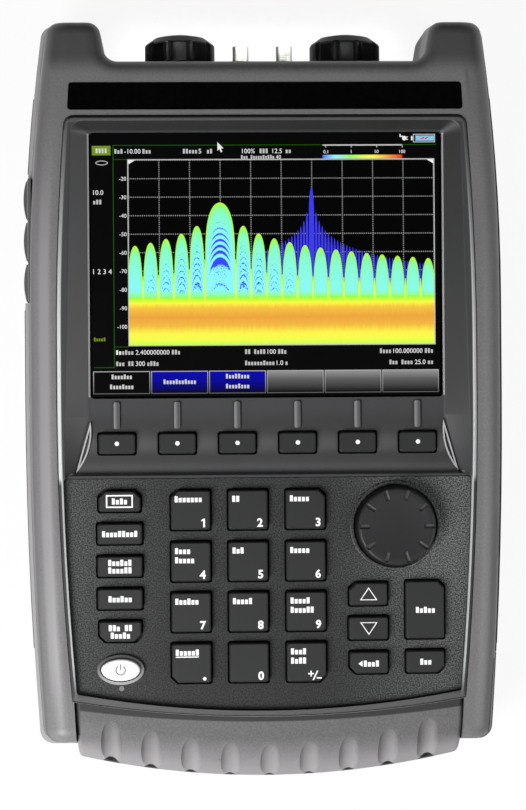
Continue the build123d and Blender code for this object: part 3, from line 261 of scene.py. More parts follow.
class CaseColours(PropertyGroup):
    frame_rubber: FloatVectorProperty(
        name="Frame", description="Grey of the rubbery case", subtype="COLOR", size=4,
        default=tone(113, 111.6, 113))
    bezel: FloatVectorProperty(
        name="Bezel", description="Charcoal of the plate round the screen", subtype="COLOR", size=4,
        default=tone(60.4, 61, 62.6))
    panel: FloatVectorProperty(
        name="Keypad panel", description="Charcoal of the pored keypad plate", subtype="COLOR",
        size=4, default=tone(40.4, 41.6, 41.8))
    keys: FloatVectorProperty(
        name="Keys", description="Charcoal of the key caps", subtype="COLOR", size=4,
        default=tone(36.4, 37.2, 37.6))
    legends: FloatVectorProperty(
        name="Legends", description="White of the printed marks", subtype="COLOR", size=4,
        default=grey(252))


class DisplaySizes(PropertyGroup):
    width: FloatProperty(
        name="Width", description="Width of the lit area", subtype="DISTANCE", default=0.1326)
    height: FloatProperty(
        name="Height", description="Height of the lit area", subtype="DISTANCE", default=0.1001)
    lift: FloatProperty(
        name="Lift", description="Height of the first picture layer over the glass",
        subtype="DISTANCE", default=0.00003)


class LegendSizes(PropertyGroup):
    digit: FloatProperty(
        name="Digit height", description="Height of the numbers on the keys",
        subtype="DISTANCE", default=0.0033)
    word: FloatProperty(
        name="Word height", description="Height of the word marks on the keys",
        subtype="DISTANCE", default=0.0023)
    print_depth: FloatProperty(
        name="Print depth", description="How far the print stands on a key",
        subtype="DISTANCE", default=0.00004)


class StageSettings(PropertyGroup):
    distance: FloatProperty(
        name="Camera distance", description="From the middle of the case to the camera",
        subtype="DISTANCE", default=0.9)
    lean: FloatProperty(
        name="Camera lean", description="Sideways slope of the line of sight", default=-0.0366)
    roll: FloatProperty(
        name="Camera roll", description="Turn of the camera about its line of sight",
        subtype="ANGLE", default=math.radians(-0.42))
    key_power: FloatProperty(
        name="Key lamp", description="Power of the large lamp at the lower left", unit="POWER",
        default=8.9)
    fill_power: FloatProperty(
        name="Fill lamp", description="Power of the wide lamp at the right", unit="POWER",
        default=4.7)
    bay_power: FloatProperty(
        name="Bay lamp", description="Power of the narrow lamp over the connector bay",
        unit="POWER", default=0.015)
    sky: FloatProperty(
        name="Sky", description="Strength of the even light from all round", default=0.05)


def build(bm, name, *finishes):
    """Turns a mesh drawn in millimetres into an object."""
    bmesh.ops.scale(bm, vec=(MM, MM, MM), verts=bm.verts)
    mesh = bpy.data.meshes.new(name)
    bm.to_mesh(mesh)
    bm.free()
    for finish in finishes:
        mesh.materials.append(finish.material)
    mesh.shade_flat()
    piece = bpy.data.objects.new(name, mesh)
    bpy.context.scene.collection.objects.link(piece)
    return piece


def publish(bm, name, body, slot, *finishes):
    """Turns a mesh into a piece that rides on a body."""
    piece = build(bm, name, *finishes)
    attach(piece, body)


def paint(faces, material):
    for face in faces:
        face.material_index = material


def face_up(face):
    face.normal_update()
    if face.normal.z < 0:
        face.normal_flip()


def plate(bm, low, high, z, material=0):
    """Flat rectangle between two corners."""
    width, height = high[0] - low[0], high[1] - low[1]
    middle = Matrix.Translation(((low[0] + high[0]) / 2, (low[1] + high[1]) / 2, z))
    made = bmesh.ops.create_grid(bm, x_segments=1, y_segments=1, size=0.5,
                                 matrix=middle @ Matrix.Diagonal((width, height, 1, 1)))
    paint({face for vert in made["verts"] for face in vert.link_faces}, material)


def outline(bm, low, high, z, line, material=0):
    """Hollow rectangle drawn with a line of one width."""
    plate(bm, low, (high[0], low[1] + line), z, material)
    plate(bm, (low[0], high[1] - line), high, z, material)
    plate(bm, (low[0], low[1] + line), (low[0] + line, high[1] - line), z, material)
    plate(bm, (high[0] - line, low[1] + line), (high[0], high[1] - line), z, material)


def polygon(bm, spots, z, material=0):
    """Flat shape through the given spots, facing up."""
    face = bm.faces.new([bm.verts.new((x, y, z)) for x, y in spots])
    face_up(face)
    face.material_index = material
    return face


def disc(bm, centre, radius, z, material=0):
    made = bmesh.ops.create_circle(bm, cap_ends=True, segments=20, radius=radius,
                                   matrix=Matrix.Translation((centre[0], centre[1], z)))
    paint({face for vert in made["verts"] for face in vert.link_faces}, material)


def hollow(bm, spots, line, z, material=0):
    """Outline of a closed shape, the line drawn to its inner side."""
    face = polygon(bm, spots, z, material)
    bmesh.ops.inset_individual(bm, faces=[face], thickness=line)
    bmesh.ops.delete(bm, geom=[face], context="FACES_ONLY")


def digits(bm, words, height, spot, z, anchor, weight=0.0, material=0):
    """Numbers drawn with their foot and one side at a spot; gives their width."""
    curve = bpy.data.curves.new("digits", "FONT")
    curve.body = words
    curve.offset = weight
    curve.resolution_u = 4
    holder = bpy.data.objects.new("digits", curve)
    mesh = bpy.data.meshes.new_from_object(holder)
    bpy.data.objects.remove(holder)
    bpy.data.curves.remove(curve)
    across, upward = zip(*(vert.co.xy for vert in mesh.vertices))
    low, left, right = min(upward), min(across), max(across)
    scale = height / (max(upward) - low)
    edge = {"LEFT": left, "RIGHT": right, "CENTER": (left + right) / 2}[anchor]
    move = Matrix.Translation((spot[0] - edge * scale, spot[1] - low * scale, z))
    mesh.transform(move @ Matrix.Diagonal((scale, scale, scale, 1)))
    first = len(bm.faces)
    bm.from_mesh(mesh)
    bm.faces.ensure_lookup_table()
    # Slots of deleted faces are used again, so this takes in a few older faces as well.
    paint(bm.faces[first:], material)
    bpy.data.meshes.remove(mesh)
    return (right - left) * scale


def word_mark(bm, spot, letters, height, z, anchor="LEFT", material=0, gap=0.16):
    """Row of blocks that stands for a word: t a tall one, x a short one; gives its width."""
    pitch = height * 0.66
    block = pitch - height * gap
    width = pitch * len(letters) - height * gap
    start = spot[0] - {"LEFT": 0, "CENTER": width / 2, "RIGHT": width}[anchor]
    for i, letter in enumerate(letters):
        if letter != " ":
            top = height if letter == "t" else height * 0.74
            left = start + i * pitch
            plate(bm, (left, spot[1]), (left + block, spot[1] + top), z, material)
    return width


def raise_print(bm, depth):
    """Gives flat marks a thickness."""
    grown = bmesh.ops.extrude_face_region(bm, geom=bm.faces[:])
    upper = [part for part in grown["geom"] if isinstance(part, bmesh.types.BMVert)]
    bmesh.ops.translate(bm, vec=(0, 0, depth), verts=upper)
    bmesh.ops.recalc_face_normals(bm, faces=bm.faces)


def dress(finish, *nodes):
    """Gives CAD nodes their finish."""
    for name in nodes:
        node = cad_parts[name]
        node.data.materials.clear()
        node.data.materials.append(finish.material)


# The finishes below read places on the part in millimetres.

def frame_rubber(colour):
    """Grey rubber with painted shade low on the sides, stronger on the right and toward the upper
    end, and on the horns, and a painted highlight along the crest, faint on the right.
    """
    finish = moulded("frame_rubber", colour, rough=0.44, grain=0.6, depth=0.03, spread=0.2)
    x, y, z = finish.axes()
    right = x.ease(0, 40)
    # Painted shade low on the sides, stronger on the right and toward the upper end, and on the
    # horns.
    shade_reach = right.most(y.ease(40, 105) * abs(x).ease(56, 72))
    shadow = z.fade(58.0, 63.2).most(z.fade(60.5, 65.7) * shade_reach * 0.72)
    shoulder_shade = shadow * (z.ease(50, 56.5) * 0.5 + 0.5)
    horn = y.ease(121, 131) * 0.86
    upper_end_shade = y.ease(88, 110) * 0.09
    # Painted highlight along the crest, faint on the right and gone near both ends.
    crest = z.ease(62.8, 64.6) * z.fade(65.5, 65.98) * (1 - right * 0.8)
    crest = crest * y.fade(40, 112) * y.ease(-132, -96)
    skin = finish.blend(shoulder_shade.most(horn).most(upper_end_shade), finish.skin, shade(colour, 0.25))
    return finish.set(base_color=finish.blend(crest, skin, shade(colour, 1.6)))


def rear_rubber(colour):
    """Grey rubber of the rear half, with a painted highlight on the left of the ledge above the
    parting line and painted shade on its right.
    """
    finish = moulded("rear_rubber", colour, rough=0.60, grain=0.5, depth=0.045, spread=0.2,
                     gloss=0.4)
    x, _, z = finish.axes()
    # Painted highlight on the left of the ledge, fading to painted shade on the right.
    lip = finish.blend(x.ease(-40, 40), shade(colour, 2.5), shade(colour, 0.2))
    return finish.set(base_color=finish.blend(z.ease(34.2, 34.9), finish.skin, lip))


def bezel_plastic(colour):
    """Charcoal plate with painted highlights along the crest of both long sides, the window edge,
    the ribs and the lower tray wall, and painted light and shade on the tray and its walls.
    """
    finish = moulded("bezel_plastic", colour, rough=0.5, grain=0.22, depth=0.02, spread=0.08,
                     gloss=0.45)
    x, y, z = finish.axes()
    half_width, lower_bow, upper_bow = 80.1, 2536, 2128
    tray_floor, tray_rim = 61.7, 66.7

    # Painted highlight along the crest of both long sides, bright low down and fading toward the
    # top end.
    below, above = (0 - y).most(0), (y - 20).most(0)
    inward = half_width - below * below / lower_bow - above * above / upper_bow - abs(x)
    beside_keys = y.fade(-33.5, -29.5)
    wide = inward.ease(0.2, 0.7) * inward.fade(1.5, 2.1)
    narrow = inward.ease(1.25, 1.45) * inward.fade(2.2, 2.4)
    crest = wide * (1 - beside_keys) + narrow * beside_keys
    left = x < 0
    crest_light_falloff = y.fade(10, 108) * (0.78 - left * 0.06 - beside_keys * 0.3) + 0.06
    crest = crest * crest_light_falloff * y.ease(-116, -100) * (z > 65.0)
    # Painted highlight along the side edges of the window.
    window = (abs(abs(x) - 67.75) < 0.32) * y.within(0.5, 100.8) * 0.36

    # Painted shade on the top wall and the right wall of the tray; painted light on its left wall
    # and along the top rim.
    wall = z.within(tray_floor, tray_rim)
    side_wall = wall * y.ease(-20, 6)
    shaded = (wall * y.ease(101.3, 102.3)).most(side_wall * x.ease(67.9, 68.6) * 0.55)
    lit = (side_wall * x.fade(-68.6, -67.9) * 0.8).most(y.ease(104.3, 105.0) * (z > tray_rim))

    def near(middle, reach):
        return abs(y - middle).fade(0, reach)

    # Painted shade and light in bands across the tray floor, and painted light on the bottom end of
    # the plate.
    tray = (z < tray_floor) * y.within(-28.9, -0.8)
    shaded = shaded.most(tray * near(-10.0, 7.0).most(near(-22.5, 3.6)) * 0.42)
    lit = lit.most(y.fade(-114, -112))
    lit = lit.most(tray * (near(-17.6, 5.5) * 0.65).most(near(-28.3, 4.0)))
    # Painted highlight on the lower wall of the tray.
    sill_highlight = z.within(tray_floor, 64.3) * y.within(-30.6, -28.5)

    # Painted highlight on the ribs between the softkeys, lit from the left, and painted shade in
    # the grooves, deeper on the right.
    across = x % SOFTKEY_PITCH - SOFTKEY_PITCH / 2
    between = y.within(-11.9, -1.3) * (z < 63.0)
    rib = between * (z > tray_floor) * (abs(across) < 1.25) * (1 - across.ease(-0.8, 0.5) * 0.8)
    groove = between * (z < tray_floor) * (abs(across) < 1.75)
    groove = groove * (across.ease(-1.6, 1.2) * 0.7 + 0.25)

    skin = finish.blend(lit, finish.skin, grey(82))
    skin = finish.blend(shaded.most(groove), skin, grey(36))
    skin = finish.blend(rib.most(sill_highlight * 0.8), skin, grey(128))
    return finish.set(base_color=finish.blend(crest.most(window), skin, grey(236)))


def bumper_rubber():
    """Grey rubber with painted shade along the upper edge and the left side, painted light toward
    the foot and in the scallops, and black scallop ends.
    """
    finish = moulded("bumper_rubber", tone(99, 97.6, 99), rough=0.60, grain=0.6, depth=0.04,
                     spread=0.24, gloss=0.4)
    x, y, z = finish.axes()
    half_pitch, scallop_reach = SCALLOP_PITCH / 2, 2.7
    front = z > 51
    upper = x * x * 0.00094 - 121.3 - y
    foot = y - x * x * 0.00198 + 146.0
    step = abs((x + half_pitch) % SCALLOP_PITCH - half_pitch) / scallop_reach
    runout = (foot < (1 - step * step) * 1.6) * (abs(x) < 63.5) * front
    # Painted light inside the scallops and toward the foot; painted shade along the upper edge and
    # down the left side.
    scallop = step.fade(0.7, 1.5) * foot.fade(9, 17) * front
    pale = foot.fade(1.0, 17.0 - x * x * 0.0017) * z.ease(36, 52) * 0.74
    flank = x.fade(-72.6, -71.4) * (y > -128) * (z > 52)
    edge = (upper.fade(1.7, 2.3) * (z > 60)).most(flank)
    skin = finish.blend(pale, finish.skin, tone(149, 146.8, 148.6))
    skin = finish.blend(scallop * 0.34, skin, tone(151, 149, 150.6))
    skin = finish.blend(edge, skin, grey(46))
    return finish.set(base_color=finish.blend(runout, skin, grey(6)))


def bright_edge():
    """Bright line of the crescents, and the ring round the power key with a painted highlight below
    and painted shade above.
    """
    finish = moulded("bright_edge", grey(184), rough=0.3, grain=0.4, depth=0.005, spread=0.08,
                     gloss=0.6)
    _, y, _ = finish.axes()
    middle, _ = middle_and_top("power_key")
    # Painted highlight low on the ring, painted shade high on it.
    ring = finish.blend((y - middle.y).ease(-5.5, 4.5), grey(158), grey(76))
    return finish.set(base_color=finish.blend(y.ease(-60, -50), ring, finish.skin))


def knob_rubber():
    """Soft black rubber with painted shade on the flank and a painted highlight in the finger
    notches.
    """
    finish = moulded("knob_rubber", tone(35.4, 36, 37.6), rough=0.5, grain=0.35, depth=0.03,
                     spread=0.12, gloss=0.4)
    x, y, z = finish.axes()
    middle, top = middle_and_top("rotary_knob")
    out, along = x - middle.x, y - middle.y
    reach = out * out + along * along
    # Painted shade on the side wall; painted highlight in the finger notches.
    flank = z.fade(top - 1.5, top - 0.8) * reach.ease(13.4 ** 2, 14.0 ** 2)
    notch = z.fade(top - 0.6, top - 0.35) * (reach > 10.0 ** 2) * (1 - flank)
    skin = finish.blend(notch, finish.skin, grey(66))
    return finish.set(base_color=finish.blend(flank, skin, grey(5)))


def panel_plastic(colour):
    """Keypad plate with a coarse spark-eroded skin, a painted sheen toward both sides, strongest on
    the right, and painted shade toward the bottom.
    """
    finish = Finish("panel_plastic", specular_ior_level=0.45)
    pits = finish.grain(0.5, 2.0, 0.6)
    x, y, _ = finish.axes()
    speck = pits.ease(0.44, 0.58)
    # Painted sheen toward the right and left sides, painted shade toward the bottom.
    sheen = x.ease(16, 76) + x.fade(-74, -34) * 0.3
    foot = y.fade(-112, -45) * 0.38

    def skin(level):
        return finish.blend(sheen, shade(colour, level), shade(colour, 4.2 * level))

    pitted = finish.blend(speck, skin(0.2), skin(2.0))
    finish.set(base_color=finish.blend(foot, pitted, grey(6)), roughness=0.62 - speck * 0.14)
    finish.relief(pits, 0.10, 0.8)
    return finish


def circuit_board():
    """Green lacquer over copper tracks."""
    finish = Finish("circuit_board", specular_ior_level=0.5)
    x, y, _ = finish.axes()
    tracks = (x % 2.4 < 0.5).most(y % 3.1 < 0.5)
    clouds = finish.grain(9.0)
    green = finish.blend(clouds, tone(18, 62, 38), tone(30, 84, 52))
    finish.set(base_color=finish.blend(tracks * (clouds > 0.46), green, tone(52, 112, 66)),
               roughness=0.42 - tracks * 0.1)
    finish.relief(tracks, 0.03)
    return finish


def lamp_lens():
    """Small clear lens, unlit."""
    finish = Finish("lamp_lens", roughness=0.2, coat_weight=0.6)
    return finish.set(base_color=finish.blend(finish.grain(0.4), grey(112), grey(142)))


def threaded(name, colour, pitch, spacing, radius):
    """Bright turned metal of a pair of connectors with thread rings, painted shade in the thread
    grooves and toward both sides, deepest on the left.
    """
    finish = Finish(name, metallic=0.2, coat_weight=0.6)
    x, y, _ = finish.axes()
    turns = (y * (2 * math.pi / pitch)).sine()
    marks = finish.grain(0.6, 2.0, 0.6, (1, 6, 1))
    across = (x % spacing - spacing / 2) / radius
    # Painted shade toward both sides of each connector, deepest on the left.
    flank = across.fade(-0.9, -0.45).most(across.ease(0.65, 1.0) * 0.7)
    # Painted shade in the thread grooves.
    skin = finish.blend(turns.ease(-0.9, 0.7), shade(colour, 0.74), colour)
    finish.set(base_color=finish.blend(flank, skin, grey(66)), roughness=0.2 + marks * 0.14)
    finish.relief(turns, 0.06)
    return finish


# Name, grey, roughness, size and depth of the pores in millimetres, spread of shade, gloss, nodes.
PLAIN_FINISHES = (
    ("grip_rubber", 88, 0.68, 0.5, 0.07, 0.10, 0.35, "side_grips"),
    ("gloss_black", 4, 0.35, 1.5, 0.004, 0.3, 0.04, "name_plate"),
    ("membrane_rubber", 150, 0.55, 0.8, 0.03, 0.10, 0.5, "key_membrane"),
    ("battery_plastic", 44, 0.5, 0.4, 0.03, 0.10, 0.5, "battery_pack"),
    ("latch_plastic", 52, 0.48, 0.3, 0.03, 0.10, 0.5, "battery_latch"),
    ("cap_black", 4, 0.42, 0.3, 0.02, 0.15, 0.1, "port_cap_left", "port_cap_right"),
    ("flap_rubber", 84, 0.62, 0.4, 0.05, 0.10, 0.5,
     "side_door_lower", "side_door_middle", "side_door_upper"),
    ("jack_plastic", 30, 0.4, 0.4, 0.02, 0.10, 0.5, "side_jacks"),
    ("stand_plastic", 58, 0.55, 0.35, 0.04, 0.10, 0.5, "kickstand"),
)


class ANALYZER_OT_case_finishes(Operator):
    """Give every moulded, machined and hidden piece its finish"""
    bl_idname = "analyzer.case_finishes"
    bl_label = "Case finishes"

    def execute(self, context):
        colours = context.scene.analyzer_colours
        rubber = tuple(colours.frame_rubber)
        dress(frame_rubber(rubber), "front_frame", "battery_door")
        dress(rear_rubber(shade(rubber, 0.9)), "rear_shell")
        dress(bumper_rubber(), "bottom_bumper")
        dress(bezel_plastic(tuple(colours.bezel)), "display_bezel")
        dress(panel_plastic(tuple(colours.panel)), "keypad_panel")
        dress(bright_edge(), "bright_trims")
        dress(hazy("window_glass", (grey(2), grey(5)), size=30.0, rough=0.10, spread=0.08,
                   gloss=0.05), "display_window")
        dress(metal("display_module", grey(168), rough=0.38, stretch=(1, 12, 1)), "lcd_module")
        dress(circuit_board(), "key_board", "main_board")
        dress(lamp_lens(), "status_lamp")
        dress(knob_rubber(), "rotary_knob")
        dress(metal("steel", grey(190), rough=0.32, stretch=(1, 1, 8)),
              "knob_encoder", "hinge_pins", "case_screws")
        dress(metal("milled_aluminium", grey(205), rough=0.36, stretch=(10, 1, 1)), "rf_deck")
        dress(threaded("port_steel", grey(236), 0.9, PORT_SPACING, 5.1), "test_ports")
        dress(threaded("jack_steel", tone(250, 247, 242), 0.71, JACK_SPACING, 3.2), "sma_jacks")
        for name, level, rough, grain, depth, spread, gloss, *nodes in PLAIN_FINISHES:
            dress(moulded(name, grey(level), rough, grain, depth, spread, gloss), *nodes)
        dress(moulded("key_rubber", tuple(colours.keys), rough=0.54, grain=0.25, depth=0.014,
                      spread=0.07, gloss=0.42),
              *FUNCTION_KEYS, *NUMBER_KEYS, *CURSOR_KEYS, *SOFTKEYS)
        dress(hazy("power_white", (grey(246), WHITE), size=2.5, rough=0.30, spread=0.1, gloss=0.5),
              "power_key")
        return {"FINISHED"}


# Places on the display in millimetres from the upper left corner of the lit area.
PLOT = (14.1, 10.4, 130.9, 81.0)
GRID = 10
BAND_TOP = 62.6
MAIN_LOBE = (48.96, 26.7)
LOBE_REACH = 5.905
RARE_LOBE = (84.0, 21.0)
COLOUR_SCALE = (88.4, 8.6, 119.0, 10.0)
LABELS_TOP, LABELS_FOOT = 90.9, 99.6

DECADE = 14.1  # height on the plot of a factor of ten
LAYER = 0.02  # between two layers of the picture
PICTURE_SHIFT = (-0.2, 0.6)  # of the lit area from the middle of the glass
TEXT = 1.75  # height of the common text
TEXT_GAP = 0.22  # between its blocks, as a share of that height


class Canvas:
    """Display area in millimetres, u to the right and v down from its upper left corner."""

    def __init__(self, sizes):
        middle, top = middle_and_top("display_window")
        self.width = sizes.width / MM
        self.height = sizes.height / MM
        self.left = middle.x - self.width / 2 + PICTURE_SHIFT[0]
        self.top = middle.y + self.height / 2 + PICTURE_SHIFT[1]
        self.z = top + sizes.lift / MM

    def at(self, u, v):
        return (self.left + u, self.top - v)

    def area(self, u0, v0, u1, v1):
        """Low and high corner of a rectangle."""
        return self.at(u0, v1), self.at(u1, v0)

    def layer(self, step):
        """Height of a picture layer over the glass."""
        return self.z + LAYER * step


def show(bm, name, *finishes):
    """Makes a mesh a piece of the lit picture."""
    publish(bm, name, "case", "window_glass", *finishes)


def plot_ground(canvas):
    """Dotted graticule on black."""
    finish = glow("graticule")
    x, y, _ = finish.axes()
    left, top = canvas.at(PLOT[0], PLOT[1])
    dot, line = 0.84, 0.19
    u, v = x - left, top - y

    def dotted(place, pitch, along):
        on_line = abs((place + pitch / 2) % pitch - pitch / 2) < line
        return on_line * (along % dot < dot * 0.55)

    upright = dotted(u, (PLOT[2] - PLOT[0]) / GRID, v)
    level = dotted(v, (PLOT[3] - PLOT[1]) / GRID, u)
    return finish.set(emission_color=finish.blend(upright.most(level), BLACK, grey(142)))


def noise_band(canvas):
    """Glowing floor of the spectrum: green, yellow, orange and yellow again."""
    finish = glow("noise_band")
    _, y, _ = finish.axes()
    top = canvas.at(0, BAND_TOP)[1]
    ragged = finish.grain(0.9, 2.0, 0.7, (1, 0.16, 1)) - 0.5
    share = (top - y) / (PLOT[3] - BAND_TOP) + ragged * 0.09
    finish.set(emission_color=finish.ramp(
        share, (0.00, tone(138, 252, 84)), (0.06, tone(190, 255, 56)), (0.13, tone(255, 250, 66)),
        (0.23, tone(246, 198, 66)), (0.42, tone(238, 164, 62)), (0.60, tone(242, 186, 66)),
        (0.76, tone(255, 246, 76)), (0.90, tone(240, 255, 78)), (1.00, tone(196, 255, 84))))
    return finish


def lobe_colour(canvas):
    """Trace colour by depth below its outline, with dark ripples deep in the middle."""
    finish = glow("trace_lobes")
    side, depth, _ = finish.parts(finish.node("ShaderNodeUVMap", {"uv_map": "trace"}))
    x, y, _ = finish.axes()
    speck = finish.grain(0.5, 1.0) - 0.5
    reach = abs(side)
    edge = depth / 16.0 + speck * 0.05 - reach.ease(0.72, 1.0) * 0.3
    body = finish.ramp(
        edge, (0.00, tone(196, 255, 44)), (0.03, tone(172, 255, 60)), (0.10, tone(140, 255, 140)),
        (0.26, tone(136, 252, 206)), (1.00, tone(140, 250, 250)))
    away = abs(x - canvas.at(MAIN_LOBE[0], 0)[0]) / LOBE_REACH
    near = away.fade(0.9, 1.2) * 0.5 + away.fade(1.0, 6.5) * 0.5
    broken = depth.ease(19, 31)
    wave = (depth * (1 - broken * 0.25) * 2.75).sine() * (1 - broken * 0.45)
    ripple = wave + speck * (broken * 3.0 + away.ease(0.8, 1.4) * 2.0 + 1.0)
    heart = depth.ease(4.0, 20) * depth.fade(27, 36) * reach.fade(0.3, 0.82) * near
    dark = (ripple + heart * 1.3).ease(0.95, 1.5) * heart.ease(0.015, 0.1)
    low = (y - canvas.at(0, BAND_TOP)[1]).fade(0.0, 3.0)
    body = finish.blend(dark * (1 - low), body, tone(58, 72, 255))
    return finish.set(emission_color=finish.blend(low * 0.85, body, tone(150, 252, 120)))


def arch(bm, chart, centre, reach, top, base, z, steps):
    """One arch of the trace, its depth below the outline kept as a map."""
    def crown(x):
        share = min(abs(x - centre) / reach, 0.9995)
        return max(base + 0.01, top + DECADE * math.log10(math.cos(share * math.pi / 2)))

    row = [bm.verts.new((centre + reach * (2 * i / steps - 1), base, z)) for i in range(steps + 1)]
    edges = [bm.edges.new(pair) for pair in zip(row, row[1:])]
    grown = bmesh.ops.extrude_edge_only(bm, edges=edges)["geom"]
    for part in grown:
        if isinstance(part, bmesh.types.BMVert):
            part.co.y = crown(part.co.x)
    for part in grown:
        if isinstance(part, bmesh.types.BMFace):
            face_up(part)
            for loop in part.loops:
                spot = loop.vert.co
                loop[chart].uv = ((spot.x - centre) / reach, crown(spot.x) - spot.y)


def spectrum(canvas, name, finish, centre, reach, fall, sides, layer, steps):
    """A pulse spectrum: main arch and the side arches that fall away from it."""
    bm = bmesh.new()
    chart = bm.loops.layers.uv.new("trace")
    z = canvas.layer(layer)
    x, y = canvas.at(*centre)
    floor = canvas.at(0, BAND_TOP + 0.5)[1]
    arch(bm, chart, x, reach, y, floor, z, steps)
    left, right = canvas.at(PLOT[0], 0)[0], canvas.at(PLOT[2], 0)[0]
    for way, count in zip((-1, 1), sides):
        for k in range(1, count + 1):
            middle = x + way * reach * (k + 0.5)
            peak = y - DECADE * math.log10(math.pi * (k + 0.5)) * fall
            inside = left < middle + reach * 0.1 and middle + reach * 0.3 < right
            if inside and peak > floor + 0.1:
                arch(bm, chart, middle, reach / 2, peak, floor, z, max(6, steps // 2))
    for place, way in ((left, -1), (right, 1)):
        bmesh.ops.bisect_plane(bm, geom=bm.verts[:] + bm.edges[:] + bm.faces[:],
                               plane_co=(place, 0, 0), plane_no=(way, 0, 0), clear_outer=True)
    show(bm, name, finish)


class ANALYZER_OT_display_trace(Operator):
    """Draw the graticule, the noise floor and the two traces"""
    bl_idname = "analyzer.display_trace"
    bl_label = "Display trace"

    def execute(self, context):
        canvas = Canvas(context.scene.analyzer_display)
        rim = 0.4
        bm = bmesh.new()
        plate(bm, *canvas.area(-rim, -rim, canvas.width + rim, canvas.height + rim),
              canvas.layer(0))
        plate(bm, *canvas.area(*PLOT), canvas.layer(1), 1)
        plate(bm, *canvas.area(PLOT[0], BAND_TOP, PLOT[2], PLOT[3]), canvas.layer(4), 2)
        show(bm, "display_ground", mottled_glow("screen_dark", 12.0, grey(2), grey(5)),
             plot_ground(canvas), noise_band(canvas))

        rare = mottled_glow("trace_comb", 0.5, tone(40, 40, 214), tone(74, 74, 255))
        spectrum(canvas, "display_comb", rare, RARE_LOBE, reach=1.17, fall=1.0, sides=(34, 38),
                 layer=2, steps=10)
        spectrum(canvas, "display_lobes", lobe_colour(canvas), MAIN_LOBE, LOBE_REACH, fall=0.94,
                 sides=(6, 14), layer=3, steps=40)

        bm = bmesh.new()
        foot = BAND_TOP + 1
        for k in (*range(-5, 0), *range(1, 14)):
            u = MAIN_LOBE[0] + LOBE_REACH * k
            top = 48.4 + 9.0 * (1 - 1 / abs(k) ** 0.75)
            polygon(bm, [canvas.at(u - 0.42, foot), canvas.at(u + 0.42, foot),
                         canvas.at(u + 0.12, top), canvas.at(u - 0.12, top)], canvas.layer(5))
        show(bm, "display_valleys",
             mottled_glow("trace_valleys", 0.8, tone(206, 255, 66), tone(246, 255, 70)))
        return {"FINISHED"}


